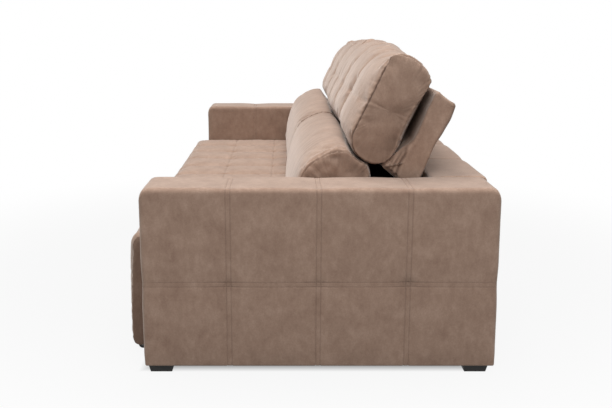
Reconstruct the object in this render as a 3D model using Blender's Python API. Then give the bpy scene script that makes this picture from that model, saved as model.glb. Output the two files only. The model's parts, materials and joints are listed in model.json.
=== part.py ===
# Two-place sofa with sliding seats and reclining upper backs, at rest: seats closed, backs upright.
# Metres, +Z up, front towards -Y. The origin is on the floor, under the middle of the bounding box.
# Left and right are those of a person sitting on the sofa, so left is +X.

import math

import bmesh
import bpy
import numpy as np

# Overall sizes
SOFA_WIDTH = 2.76
ARM_DEPTH = 1.10
ARM_TOP = 0.597
SEAT_PROUD = 0.072
SEAT_TOP = 0.410

# Gaps between pieces
FIT = 0.0003
SEAT_SIDE_GAP = 0.006
CENTRE_GAP = 0.010
PRESS_GAP = 0.002

# Arms
ARM_WIDTH = 0.21
ARM_CORNER_RADIUS = 0.030
ARM_EDGE_RADIUS = 0.012
COVER_WALL = 0.016
BOARD = 0.015
FOOT_HEIGHT = 0.026
FOOT_LENGTH = 0.081
FOOT_WIDTH = 0.070
FOOT_TAPER = 0.006
FOOT_END_INSET = 0.008
FOOT_SIDE_INSET = 0.014

# Base rails and seat slides
BASE_RAIL_BOTTOM = 0.040
BASE_RAIL_HEIGHT = 0.045
BASE_RAIL_DEPTH = 0.060
BASE_FRONT_INSET = 0.080
BASE_REAR_INSET = 0.150
CHANNEL_WIDTH = 0.034
CHANNEL_HEIGHT = 0.020
CHANNEL_WALL = 0.0025
RUNNER_INSET = 0.024
RUNNER_HEIGHT = 0.032
RUNNER_PLAY = 0.001
ROLLER_RADIUS = 0.014
ROLLER_WIDTH = 0.015
ROLLER_SETBACK = 0.029
ROLLER_CLEAR = 0.003
AXLE_RADIUS = 0.004
AXLE_PLAY = 0.0003
AXLE_PLATE = 0.005
AXLE_EYE = 0.009
DROP_PLATE_LENGTH = 0.030

# Seats
FRONT_PAD_DEPTH = 0.085
FRONT_PAD_BOTTOM = 0.014
FRONT_LIP = 0.003
FRONT_ROWS = 2
FRONT_TOP_RADIUS = 0.036
FRONT_FOOT_RADIUS = 0.014
FRONT_ROUND_DEPTH = 0.030
SEAT_PAD_HEIGHT = 0.122
SEAT_BACK_SPACE = 0.195
DECK = 0.018
SEAT_SIDE = 0.030
DECK_INSET = 0.012
SEAT_COLUMNS = 5
SEAT_ROW_PITCH = 0.215
SEAT_FIRST_ROW = 0.154
SEAT_LAST_ROW = 0.055
QUILT_RISE = 0.012
SIDE_DRAW = 0.005
PAD_EDGE = 0.014

# Rear box and lower back
REAR_PAD_HEIGHT = 0.045
REAR_PAD_CLEAR = 0.067
REAR_SKIN = 0.006
REAR_BOTTOM = 0.034
REAR_EDGE_RADIUS = 0.012
LEDGE = 0.018
LOWER_BACK_BOARD = 0.020
LOWER_BACK_SETBACK = 0.123
LOWER_BACK_LIFT = 0.018

# Reclining backs and their ratchet hinges
HINGE_FROM_REAR = 0.247
BACK_TILT = math.radians(21.5)
SLAB_THICKNESS = 0.083
SLAB_LENGTH = 0.287
SLAB_END_GAP = 0.030
SLAB_EDGE_RADIUS = 0.014
BACK_BOARD = 0.030
BACK_BOARD_DROP = 0.032
HINGE_INSET = 0.120
HINGE_EYE = 0.014
HINGE_PIN_RADIUS = 0.005
HINGE_PIN_PLAY = 0.0003
HINGE_PLATE = 0.005
HINGE_PLATE_LENGTH = 0.028
HINGE_TONGUE = 0.006
HINGE_PLAY = 0.0005
HINGE_NOTCH = 0.020
HINGE_FOOT_THICKNESS = 0.003
HINGE_FOOT_LENGTH = 0.060
HINGE_FOOT_WIDTH = 0.030

# Cushions: outlines of the sewn end panels, as distance forward of what carries them and height
LUMBAR_END_GAP = 0.018
LUMBAR_OUTLINE = ((0.240, 0.014), (0.258, 0.088), (0.233, 0.188), (0.160, 0.257), (0.085, 0.256),
                  (0.022, 0.185), (0.004, 0.095), (0.012, 0.012))
LUMBAR_CENTRE = (0.120, 0.130)
LUMBAR_CROWN = (0.17, 0.28)
LUMBAR_FULLNESS = 0.5
LUMBAR_LIFT = 0.005
UPPER_END_GAP = 0.028
UPPER_OUTLINE = ((0.186, 0.050), (0.186, 0.184), (0.158, 0.312), (0.110, 0.353), (0.030, 0.318),
                 (0.028, 0.180), (0.042, 0.040), (0.112, -0.005))
UPPER_CROWN = 0.024
UPPER_TOP_CROWN = 0.013
UPPER_BACK_CROWN = 0.045
UPPER_FULLNESS = 1.0
UPPER_COLUMNS = 3
SEAM_DEPTH = 0.010
SEAM_SPREAD = 0.035
CROSS_SEAM_DEPTH = 0.006
TUFT_DEPTH = 0.014
TUFT_SPREAD = 0.045
MEET_FORWARD = 0.160
MEET_RISE = 0.050

# Facets
ARC_STEPS = 6
ROUND_SIDES = 24
CELL_STEPS = 4
FRONT_ROUND_STEPS = 3
LOOP_POINTS = 26
STATIONS_PER_COLUMN = 6
LUMBAR_STATIONS = 13
SMOOTH_ANGLE = math.radians(35)
SEAM_SHARPNESS = 0.6
CATMULL_ROM = np.array(((0, 2, 0, 0), (-1, 0, 1, 0), (2, -5, 4, -1), (-1, 3, -3, 1))) / 2

# Places worked out from the sizes
HALF_WIDTH = SOFA_WIDTH / 2
INNER_X = HALF_WIDTH - ARM_WIDTH
FRONT_Y = -(ARM_DEPTH + SEAT_PROUD) / 2
REAR_Y = -FRONT_Y
ARM_FRONT_Y = FRONT_Y + SEAT_PROUD
CHANNEL_BOTTOM = BASE_RAIL_BOTTOM + BASE_RAIL_HEIGHT + FIT
RUNNER_BOTTOM = CHANNEL_BOTTOM + CHANNEL_WALL + FIT
RUNNER_TOP = RUNNER_BOTTOM + RUNNER_HEIGHT
PAD_FRONT_Y = FRONT_Y + FRONT_PAD_DEPTH + FIT
SEAT_REAR_Y = REAR_Y - SEAT_BACK_SPACE
PAD_BOTTOM = SEAT_TOP - SEAT_PAD_HEIGHT
SEAT_IN_X = CENTRE_GAP / 2
SEAT_OUT_X = INNER_X - SEAT_SIDE_GAP
LEDGE_TOP = ARM_TOP - REAR_PAD_HEIGHT
HINGE_Y = REAR_Y - HINGE_FROM_REAR
HINGE_Z = ARM_TOP
LOWER_BACK_Y = HINGE_Y - LOWER_BACK_SETBACK
SIDES = (("left", 1.0), ("right", -1.0))
UP = np.array((math.sin(BACK_TILT), math.cos(BACK_TILT)))
FORWARD = np.array((-math.cos(BACK_TILT), math.sin(BACK_TILT)))
HINGE = np.array((HINGE_Y, HINGE_Z))


def clear_scene():
    for old in list(bpy.data.objects):
        bpy.data.objects.remove(old)


def linear(level):
    # One sRGB channel, 0 to 255, as the linear value that a shader takes.
    share = level / 255
    return share / 12.92 if share <= 0.04045 else ((share + 0.055) / 1.055) ** 2.4


def make_material(name, srgb, roughness, metallic=0.0):
    material = bpy.data.materials.new(name)
    material.use_nodes = True
    shader = material.node_tree.nodes["Principled BSDF"]
    shader.inputs["Base Color"].default_value = (*map(linear, srgb), 1.0)
    shader.inputs["Roughness"].default_value = roughness
    shader.inputs["Metallic"].default_value = metallic
    return material


def make_body(name, location):
    # An empty on the joint's axis, which carries the pieces that move together.
    body = bpy.data.objects.new(name, None)
    body.location = location
    bpy.context.scene.collection.objects.link(body)
    return body


def solid(name, points, faces, material, body, smooth=False):
    # A closed mesh from points in world space, carried by its body.
    local = np.asarray(points, float) - np.array(body.location)
    mesh = bpy.data.meshes.new(name)
    mesh.from_pydata(local.tolist(), [], faces)
    editing = bmesh.new()
    editing.from_mesh(mesh)
    bmesh.ops.recalc_face_normals(editing, faces=editing.faces)
    editing.to_mesh(mesh)
    editing.free()
    mesh.materials.append(material)
    if smooth:
        mesh.shade_smooth()
        mesh.set_sharp_from_angle(angle=SMOOTH_ANGLE)
    made = bpy.data.objects.new(name, mesh)
    made.parent = body
    bpy.context.scene.collection.objects.link(made)
    return made


def loft(name, sections, material, body, smooth=False):
    # A closed skin over a row of closed sections with equal counts of points, capped at both ends.
    count = len(sections[0])
    points = np.concatenate(sections)
    faces = [list(range(count)), list(range(len(points) - count, len(points)))]
    for row in range(len(sections) - 1):
        for column in range(count):
            after = (column + 1) % count
            low = row * count
            high = low + count
            faces.append([low + column, low + after, high + after, high + column])
    return solid(name, points, faces, material, body, smooth)


def at_x(outline, x):
    # A (y, z) outline set in the plane at x.
    flat = np.asarray(outline, float)
    return np.column_stack((np.full(len(flat), x), flat))


def prism(name, outline, x_low, x_high, material, body, smooth=False):
    return loft(name, [at_x(outline, x_low), at_x(outline, x_high)], material, body, smooth)


def box(name, low, high, material, body):
    outline = ((low[1], low[2]), (high[1], low[2]), (high[1], high[2]), (low[1], high[2]))
    return prism(name, outline, low[0], high[0], material, body)


def arc(centre, radius, start, end, steps=ARC_STEPS):
    angles = np.radians(np.linspace(start, end, steps + 1))
    return [(centre[0] + radius * math.cos(a), centre[1] + radius * math.sin(a)) for a in angles]


def circle(centre, radius, sides=ROUND_SIDES):
    return arc(centre, radius, 0, 360 - 360 / sides, sides - 1)


def in_back(forward, up):
    # (y, z) of a point given as forward of, and up along, the back's middle plane from the hinge axis.
    return HINGE + forward * FORWARD + up * UP


def boolean(target, tool, operation):
    tool.hide_render = True
    tool.display_type = "WIRE"
    change = target.modifiers.new(operation.lower(), "BOOLEAN")
    change.operation = operation
    change.solver = "EXACT"
    change.object = tool


def smooth_loop(outline, count):
    # A closed Catmull-Rom curve through the outline's points, read at even steps of its parameter.
    knots = np.asarray(outline, float)
    made = []
    for place in np.linspace(0, len(knots), count, endpoint=False):
        index = int(place)
        powers = (place - index) ** np.arange(4)
        near = knots[(index + np.arange(-1, 3)) % len(knots)]
        made.append(powers @ CATMULL_ROM @ near)
    return np.array(made)


def swell(across, fullness):
    # 0 at a cushion's sewn ends (across = -1 and 1), 1 in its middle. A low fullness rises fast.
    return (1.0 - abs(across) ** 3) ** fullness


def bump(share):
    # 0 on the seams at share 0 and 1 of a cell, 1 in its middle.
    return max(0.0, math.sin(math.pi * share)) ** SEAM_SHARPNESS


def cell_lines(seams):
    # Grid lines that split each stretch between seams into equal steps, seams included.
    lines = [np.linspace(a, b, CELL_STEPS, endpoint=False) for a, b in zip(seams, seams[1:])]
    return np.append(np.concatenate(lines), seams[-1])


def cell_bump(value, seams):
    # The first and last of the seams are the pad's edges, where nothing is sewn down.
    index = int(np.clip(np.searchsorted(seams, value, side="right") - 1, 0, len(seams) - 2))
    share = (value - seams[index]) / (seams[index + 1] - seams[index])
    at_edge = (index == 0 and share < 0.5) or (index == len(seams) - 2 and share > 0.5)
    return 1.0 if at_edge else bump(share)


def padded_block(name, lines, shape, material, body):
    # A block whose face at the third direction's end is a grid, with ringed sides and one flat base.
    # lines holds the grid lines of the three directions, and shape moves each grid point to its place.
    a, b, c = (np.asarray(values, float) for values in lines)
    rim = [(i, 0) for i in range(len(a))]
    rim += [(len(a) - 1, j) for j in range(1, len(b))]
    rim += [(i, len(b) - 1) for i in range(len(a) - 2, -1, -1)]
    rim += [(0, j) for j in range(len(b) - 2, 0, -1)]
    points = [shape(u, v, c[-1]) for u in a for v in b]
    face = [[i * len(b) + j for j in range(len(b))] for i in range(len(a))]
    faces = [[face[i][j], face[i + 1][j], face[i + 1][j + 1], face[i][j + 1]]
             for i in range(len(a) - 1) for j in range(len(b) - 1)]
    above = [face[i][j] for i, j in rim]
    for level in c[-2::-1]:
        ring = list(range(len(points), len(points) + len(rim)))
        points += [shape(a[i], b[j], level) for i, j in rim]
        for k in range(len(rim)):
            after = (k + 1) % len(rim)
            faces.append([above[k], above[after], ring[after], ring[k]])
        above = ring
    faces.append(above)
    return solid(name, points, faces, material, body, smooth=True)


def arm_outline(inset):
    # The arm's side view, drawn in by inset along its front, top and rear.
    radius = ARM_CORNER_RADIUS - inset
    front = (ARM_FRONT_Y + ARM_CORNER_RADIUS, ARM_TOP - ARM_CORNER_RADIUS)
    rear = (REAR_Y - ARM_CORNER_RADIUS, ARM_TOP - ARM_CORNER_RADIUS)
    return [(ARM_FRONT_Y + inset, FOOT_HEIGHT), *arc(front, radius, 180, 90),
            *arc(rear, radius, 90, 0), (REAR_Y - inset, FOOT_HEIGHT)]


def make_arm(side, sign, suede, wood, body):
    # The cover is a padded sock, open below and rounded along its long edges.
    sections = []
    for face_x, inwards in ((INNER_X, 1.0), (HALF_WIDTH, -1.0)):
        turns = np.linspace(0, math.pi / 2, ARC_STEPS + 1)
        rounded = [at_x(arm_outline(ARM_EDGE_RADIUS * (1 - math.sin(turn))),
                        sign * (face_x + inwards * ARM_EDGE_RADIUS * (1 - math.cos(turn))))
                   for turn in turns]
        sections += rounded if inwards > 0 else rounded[::-1]
    cover = loft(f"{side}_arm_cover", sections, suede, body, smooth=True)
    low = np.array((INNER_X + COVER_WALL, ARM_FRONT_Y + COVER_WALL, FOOT_HEIGHT))
    high = np.array((HALF_WIDTH - COVER_WALL, REAR_Y - COVER_WALL, ARM_TOP - COVER_WALL))

    def arm_box(name, box_low, box_high, material=wood):
        x_ends = sorted((sign * box_low[0], sign * box_high[0]))
        return box(f"{side}_arm_{name}", (x_ends[0], *box_low[1:]), (x_ends[1], *box_high[1:]),
                   material, body)

    pocket = arm_box("pocket_cutter", low - (0, 0, FOOT_HEIGHT), high)
    boolean(cover, pocket, "DIFFERENCE")

    low = low + (FIT, FIT, 0)
    high = high - FIT
    arm_box("inner_board", low, (low[0] + BOARD, high[1], high[2]))
    arm_box("outer_board", (high[0] - BOARD, low[1], low[2]), high)
    left_x = low[0] + BOARD + FIT
    right_x = high[0] - BOARD - FIT
    under_top = high[2] - BOARD - FIT
    arm_box("top_board", (left_x, low[1], high[2] - BOARD), (right_x, high[1], high[2]))
    arm_box("front_board", (left_x, low[1], low[2]), (right_x, low[1] + BOARD, under_top))
    arm_box("rear_board", (left_x, high[1] - BOARD, low[2]), (right_x, high[1], under_top))


def make_feet(side, sign, plastic, body):
    # Tapered blocks under both ends of the arm, near its outer face.
    x_out = sign * (HALF_WIDTH - FOOT_SIDE_INSET)
    x_in = x_out - sign * FOOT_WIDTH
    ends = (("front", ARM_FRONT_Y + FOOT_END_INSET, 1.0), ("rear", REAR_Y - FOOT_END_INSET, -1.0))
    for end, y_end, inwards in ends:
        y_far = y_end + inwards * FOOT_LENGTH
        sections = []
        for z, taper in ((0.0, FOOT_TAPER), (FOOT_HEIGHT - FIT, 0.0)):
            near_x = x_out - sign * taper
            far_x = x_in + sign * taper
            near_y = y_end + inwards * taper
            far_y = y_far - inwards * taper
            sections.append(np.array(((near_x, near_y, z), (far_x, near_y, z),
                                      (far_x, far_y, z), (near_x, far_y, z))))
        loft(f"{side}_{end}_foot", sections, plastic, body)


def base_rail_spans():
    front = ARM_FRONT_Y + BASE_FRONT_INSET
    rear = REAR_Y - BASE_REAR_INSET
    return {"front": (front, front + BASE_RAIL_DEPTH), "rear": (rear - BASE_RAIL_DEPTH, rear)}


def make_base(wood, body):
    # Two cross rails join the arms and carry the seat slides.
    end_x = INNER_X - FIT
    for name, (y_low, y_high) in base_rail_spans().items():
        box(f"base_{name}_rail", (-end_x, y_low, BASE_RAIL_BOTTOM),
            (end_x, y_high, BASE_RAIL_BOTTOM + BASE_RAIL_HEIGHT), wood, body)


def slide_places(sign):
    # x of the two slides under one seat, and the way from each to the seat's middle.
    return (("outer", sign * (SEAT_OUT_X - RUNNER_INSET), -sign),
            ("inner", sign * (SEAT_IN_X + RUNNER_INSET), sign))


def make_channel(name, x, steel, body):
    # An open U of folded steel from the front cross rail to the rear one.
    spans = base_rail_spans()
    half = CHANNEL_WIDTH / 2
    inside = half - CHANNEL_WALL
    top = CHANNEL_BOTTOM + CHANNEL_HEIGHT
    floor = CHANNEL_BOTTOM + CHANNEL_WALL
    outline = ((-half, top), (-half, CHANNEL_BOTTOM), (half, CHANNEL_BOTTOM), (half, top),
               (inside, top), (inside, floor), (-inside, floor), (-inside, top))
    sections = [np.array([(x + u, y, z) for u, z in outline])
                for y in (spans["front"][0], spans["rear"][1])]
    loft(name, sections, steel, body)


def axle_place():
    return FRONT_Y + ROLLER_SETBACK, ROLLER_RADIUS


def make_runner(name, x, inwards, steel, body):
    # A steel bar that slides in the channel, with a drop plate and an axle at its front end.
    # inwards is 1 or -1, the side of the roller that the plate is on.
    half = CHANNEL_WIDTH / 2 - CHANNEL_WALL - RUNNER_PLAY
    bar = box(name, (x - half, PAD_FRONT_Y, RUNNER_BOTTOM), (x + half, SEAT_REAR_Y, RUNNER_TOP), steel, body)
    axle = axle_place()
    middle_z = (RUNNER_BOTTOM + RUNNER_TOP) / 2
    rear_y = PAD_FRONT_Y + DROP_PLATE_LENGTH
    outline = [(rear_y, middle_z), (PAD_FRONT_Y + FIT, middle_z), (PAD_FRONT_Y + FIT, axle[1] + AXLE_EYE),
               *arc(axle, AXLE_EYE, 90, 270), (rear_y, axle[1] - AXLE_EYE)]
    plate_near = x + inwards * (ROLLER_WIDTH / 2 + FIT)
    plate_far = plate_near + inwards * AXLE_PLATE
    plate = prism(f"{name}_plate", outline, min(plate_near, plate_far), max(plate_near, plate_far),
                  steel, body)
    pin_ends = sorted((x - inwards * ROLLER_WIDTH / 2, plate_near + inwards * AXLE_PLATE / 2))
    pin = prism(f"{name}_pin", circle(axle, AXLE_RADIUS), *pin_ends, steel, body)
    boolean(bar, plate, "UNION")
    boolean(bar, pin, "UNION")


def make_roller(name, x, plastic, body):
    wheel = prism(name, circle(axle_place(), ROLLER_RADIUS), x - ROLLER_WIDTH / 2,
                  x + ROLLER_WIDTH / 2, plastic, body, smooth=True)
    bore = prism(f"{name}_bore_cutter", circle(axle_place(), AXLE_RADIUS + AXLE_PLAY),
                 x - ROLLER_WIDTH, x + ROLLER_WIDTH, plastic, body)
    boolean(wheel, bore, "DIFFERENCE")


def seat_column_seams():
    return np.linspace(SEAT_IN_X, SEAT_OUT_X, SEAT_COLUMNS + 1)


def make_seat_pad(side, sign, suede, body):
    # The tufted pad: square cells that swell between the seams, sides drawn in, top edges rounded.
    columns = seat_column_seams()
    first = PAD_FRONT_Y + SEAT_FIRST_ROW
    inner_rows = np.arange(first, SEAT_REAR_Y - SEAT_LAST_ROW, SEAT_ROW_PITCH)
    rows = np.concatenate(([PAD_FRONT_Y], inner_rows, [SEAT_REAR_Y]))
    seam_top = SEAT_TOP - QUILT_RISE
    levels = (PAD_BOTTOM, (PAD_BOTTOM + seam_top) / 2, seam_top - PAD_EDGE, seam_top)
    middle_x = (SEAT_IN_X + SEAT_OUT_X) / 2

    def shape(x, y, z):
        drawn = SIDE_DRAW * math.sin(math.pi * (z - PAD_BOTTOM) / (seam_top - PAD_BOTTOM))
        if z == seam_top:
            drawn = PAD_EDGE
            z += QUILT_RISE * cell_bump(x, columns) * cell_bump(y, rows)
        if x in (SEAT_IN_X, SEAT_OUT_X):
            x += math.copysign(drawn, middle_x - x)
        if y == SEAT_REAR_Y:
            y -= drawn
        return sign * x, y, z

    padded_block(f"{side}_seat_pad", (cell_lines(columns), cell_lines(rows), levels), shape, suede, body)


def make_front_pad(side, sign, suede, body):
    # The quilted panel that closes the seat's front and rounds over its top edge down to the floor.
    # A pocket in its foot takes each roller.
    top = SEAT_TOP + FRONT_LIP
    columns = seat_column_seams()
    rows = np.linspace(FRONT_PAD_BOTTOM, top, FRONT_ROWS + 1)
    flat_depth = FRONT_PAD_DEPTH - FRONT_ROUND_DEPTH
    turns = np.linspace(0, math.pi / 2, FRONT_ROUND_STEPS + 1)
    levels = [0.0, *(flat_depth + FRONT_ROUND_DEPTH * np.sin(turns))]
    middle_x = (SEAT_IN_X + SEAT_OUT_X) / 2

    def shape(x, z, depth):
        turned = min(max(depth - flat_depth, 0.0) / FRONT_ROUND_DEPTH, 1.0)
        drawn = 1 - math.sqrt(1 - turned**2)
        sewn = 1 - cell_bump(x, columns) * cell_bump(z, rows)
        depth -= QUILT_RISE * sewn * (depth / FRONT_PAD_DEPTH) ** 2
        if x in (SEAT_IN_X, SEAT_OUT_X):
            x += math.copysign(PAD_EDGE * drawn, middle_x - x)
        if z == top:
            z -= FRONT_TOP_RADIUS * drawn
        if z == FRONT_PAD_BOTTOM:
            z += FRONT_FOOT_RADIUS * drawn
        return sign * x, FRONT_Y + FRONT_PAD_DEPTH - depth, z

    pad = padded_block(f"{side}_front_pad", (cell_lines(columns), cell_lines(rows), levels), shape, suede, body)
    axle = axle_place()
    for place, x, inwards in slide_places(sign):
        near = x - inwards * (ROLLER_WIDTH / 2 + ROLLER_CLEAR)
        far = x + inwards * (ROLLER_WIDTH / 2 + FIT + AXLE_PLATE + ROLLER_CLEAR)
        pocket = box(f"{side}_{place}_roller_pocket_cutter",
                     (min(near, far), axle[0] - ROLLER_RADIUS - ROLLER_CLEAR, -ROLLER_CLEAR),
                     (max(near, far), SEAT_REAR_Y, axle[1] + ROLLER_RADIUS + ROLLER_CLEAR), suede, body)
        boolean(pad, pocket, "DIFFERENCE")


def make_seat(side, sign, looks, base):
    # A wooden sledge with its deck and pads. It slides forwards on two steel runners.
    body = make_body(f"{side}_seat_slide", (sign * (SEAT_IN_X + SEAT_OUT_X) / 2, FRONT_Y, CHANNEL_BOTTOM))
    deck_top = PAD_BOTTOM - FIT
    deck_bottom = deck_top - DECK
    x_ends = sorted((sign * (SEAT_IN_X + DECK_INSET), sign * (SEAT_OUT_X - DECK_INSET)))
    box(f"{side}_seat_deck", (x_ends[0], PAD_FRONT_Y, deck_bottom), (x_ends[1], SEAT_REAR_Y, deck_top),
        looks["wood"], body)
    for place, x, inwards in slide_places(sign):
        make_channel(f"{side}_{place}_channel", x, looks["steel"], base)
        make_runner(f"{side}_{place}_runner", x, inwards, looks["steel"], body)
        box(f"{side}_seat_{place}_side", (x - SEAT_SIDE / 2, PAD_FRONT_Y, RUNNER_TOP + FIT),
            (x + SEAT_SIDE / 2, SEAT_REAR_Y, deck_bottom - FIT), looks["covered"], body)
        spin = make_body(f"{side}_{place}_roller_spin", (x, *axle_place()))
        make_roller(f"{side}_{place}_roller", x, looks["plastic"], spin)
    make_seat_pad(side, sign, looks["suede"], body)
    make_front_pad(side, sign, looks["suede"], body)


def make_rear_box(looks, body):
    # The lined ledge joins the arms behind the lumbar rolls, and a padded cover closes the box behind it.
    end_x = INNER_X - FIT
    panel_rear = REAR_Y - REAR_SKIN - FIT
    panel_front = panel_rear - BOARD
    ledge_bottom = LEDGE_TOP - LEDGE
    box("rear_panel", (-end_x, panel_front, REAR_BOTTOM), (end_x, panel_rear, LEDGE_TOP), looks["wood"], body)
    box("rear_ledge", (-end_x, LOWER_BACK_Y, ledge_bottom), (end_x, panel_front - FIT, LEDGE_TOP),
        looks["lining"], body)
    box("lower_back_board", (-end_x, LOWER_BACK_Y, SEAT_TOP + LOWER_BACK_LIFT),
        (end_x, LOWER_BACK_Y + LOWER_BACK_BOARD, ledge_bottom - FIT), looks["lining"], body)

    front = HINGE_Y + REAR_PAD_CLEAR
    under = LEDGE_TOP + FIT
    radius = REAR_EDGE_RADIUS
    outline = [(front, under), *arc((front + radius, ARM_TOP - radius), radius, 180, 90),
               *arc((REAR_Y - radius, ARM_TOP - radius), radius, 90, 0), (REAR_Y, REAR_BOTTOM),
               (REAR_Y - REAR_SKIN, REAR_BOTTOM), (REAR_Y - REAR_SKIN, under)]
    prism("rear_cover", outline, -end_x, end_x, looks["suede"], body, smooth=True)


def meet_side(points):
    # Signed distance of (y, z) points from the plane where the lumbar roll and upper cushion meet.
    # The plane slopes down to the rear at 45 degrees, and the upper cushion's side is positive.
    through = HINGE + (-MEET_FORWARD, MEET_RISE)
    return ((points - through) @ np.ones(2)) / math.sqrt(2)


def pushed(points, sign):
    # The points moved square to the meeting plane, to keep to one side of it.
    short = np.minimum(sign * meet_side(points) - PRESS_GAP, 0.0)
    return points - sign * np.outer(short, np.ones(2)) / math.sqrt(2)


def make_lumbar(side, sign, suede, body):
    # A fat roll in front of the lower back board, with drawn-in ends.
    x_low = CENTRE_GAP / 2
    x_high = INNER_X - LUMBAR_END_GAP
    end = smooth_loop(LUMBAR_OUTLINE, LOOP_POINTS)
    bottom = SEAT_TOP + LUMBAR_LIFT
    sections = []
    for across in np.linspace(-1, 1, LUMBAR_STATIONS):
        rise = swell(across, LUMBAR_FULLNESS)
        grown = LUMBAR_CENTRE + (end - LUMBAR_CENTRE) * (1 + np.array(LUMBAR_CROWN) * rise)
        depth = np.maximum(grown[:, 0], FIT)
        height = np.maximum(grown[:, 1], 0.0)
        section = pushed(np.column_stack((LOWER_BACK_Y - depth, bottom + height)), -1.0)
        sections.append(at_x(section, sign * (x_low + (x_high - x_low) * (across + 1) / 2)))
    loft(f"{side}_lumbar_cushion", sections, suede, body, smooth=True)


def upper_dent(across, seams, from_row):
    # How far the sewn seams and tufts pull the upper cushion's face in, at a distance across it
    # and at distances up from the seam that crosses it.
    to_seam = min(abs(across - seam) for seam in seams)
    in_column = math.exp(-((to_seam / SEAM_SPREAD) ** 2))
    in_row = np.exp(-((from_row / TUFT_SPREAD) ** 2))
    return np.maximum(SEAM_DEPTH * in_column, CROSS_SEAM_DEPTH * in_row) + TUFT_DEPTH * in_column * in_row


def make_upper_cushion(side, sign, suede, body):
    # The fat back cushion on the slab's face: flat sewn ends, a crowned face with seams and tufts.
    x_low = CENTRE_GAP / 2
    x_high = INNER_X - UPPER_END_GAP
    seams = np.linspace(x_low, x_high, UPPER_COLUMNS + 1)[1:-1]
    end = smooth_loop(UPPER_OUTLINE, LOOP_POINTS)
    middle = (end.min(axis=0) + end.max(axis=0)) / 2
    half = (end.max(axis=0) - end.min(axis=0)) / 2
    facing = (end[:, 0] - middle[0]) / half[0]
    height = (end[:, 1] - middle[1]) / half[1]
    dome = 1 - height**2
    sections = []
    for across in np.linspace(-1, 1, UPPER_COLUMNS * STATIONS_PER_COLUMN + 1):
        rise = swell(across, UPPER_FULLNESS)
        x = x_low + (x_high - x_low) * (across + 1) / 2
        face_crown = UPPER_CROWN * dome - upper_dent(x, seams, end[:, 1] - middle[1])
        crown = facing * np.where(facing > 0, face_crown, UPPER_BACK_CROWN * dome)
        forward = SLAB_THICKNESS / 2 + np.maximum(end[:, 0] + rise * crown, FIT)
        up = end[:, 1] + UPPER_TOP_CROWN * rise * np.maximum(height, 0.0) ** 2
        section = pushed(np.array([in_back(f, u) for f, u in zip(forward, up)]), 1.0)
        sections.append(at_x(section, sign * x))
    loft(f"{side}_upper_cushion", sections, suede, body, smooth=True)


def slab_outline(half, low, top, radius):
    # The slab's side view: round about the hinge axis below, with rounded corners above.
    outline = [in_back(f, u) for f, u in arc((0.0, low), half, 180, 360, 2 * ARC_STEPS)]
    corners = (((half - radius), 0, 90), (-(half - radius), 90, 180))
    for forward, start, end in corners:
        outline += [in_back(f, u) for f, u in arc((forward, top - radius), radius, start, end)]
    return outline


def back_block(name, x_ends, forward, up, material, body):
    # A square block in the back's tilted frame, between two limits in each direction.
    corners = ((forward[0], up[0]), (forward[1], up[0]), (forward[1], up[1]), (forward[0], up[1]))
    return prism(name, [in_back(f, u) for f, u in corners], min(x_ends), max(x_ends), material, body)


def hinge_places(sign):
    # x of the middle of the two hinge notches in one back.
    outer = INNER_X - SLAB_END_GAP - HINGE_INSET
    inner = CENTRE_GAP / 2 + HINGE_INSET
    return (("outer", sign * outer), ("inner", sign * inner))


def make_hinge(side, place, x, looks, base, body):
    # A ratchet hinge in the slab's notch: the fixed tongue has the pin, and the moving plate turns on it.
    plate_low = x - HINGE_NOTCH / 2 + FIT
    plate_high = plate_low + HINGE_PLATE
    eye = [in_back(f, u) for f, u in arc((0.0, 0.0), HINGE_EYE, 180, 360, 2 * ARC_STEPS)]
    outline = eye + [in_back(HINGE_EYE, HINGE_PLATE_LENGTH), in_back(-HINGE_EYE, HINGE_PLATE_LENGTH)]
    plate = prism(f"{side}_{place}_hinge_plate", outline, plate_low, plate_high, looks["steel"], body)
    bore = prism(f"{side}_{place}_hinge_bore_cutter", circle(HINGE, HINGE_PIN_RADIUS + HINGE_PIN_PLAY),
                 plate_low - HINGE_PLATE, plate_high + HINGE_PLATE, looks["steel"], body)
    boolean(plate, bore, "DIFFERENCE")

    tongue_low = plate_high + HINGE_PLAY
    tongue_high = tongue_low + HINGE_TONGUE
    foot_bottom = LEDGE_TOP + FIT
    foot_top = foot_bottom + HINGE_FOOT_THICKNESS
    tongue_outline = [(HINGE_Y + HINGE_EYE, foot_bottom + HINGE_FOOT_THICKNESS / 2),
                      *arc(HINGE, HINGE_EYE, 0, 180, 2 * ARC_STEPS),
                      (HINGE_Y - HINGE_EYE, foot_bottom + HINGE_FOOT_THICKNESS / 2)]
    name = f"{side}_{place}_hinge_bracket"
    bracket = box(name, (x - HINGE_FOOT_WIDTH / 2, HINGE_Y - HINGE_FOOT_LENGTH / 2, foot_bottom),
                  (x + HINGE_FOOT_WIDTH / 2, HINGE_Y + HINGE_FOOT_LENGTH / 2, foot_top), looks["steel"], base)
    tongue = prism(f"{name}_tongue", tongue_outline, tongue_low, tongue_high, looks["steel"], base)
    pin = prism(f"{name}_pin", circle(HINGE, HINGE_PIN_RADIUS), plate_low, tongue_low + HINGE_TONGUE / 2,
                looks["steel"], base)
    boolean(bracket, tongue, "UNION")
    boolean(bracket, pin, "UNION")


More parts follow.
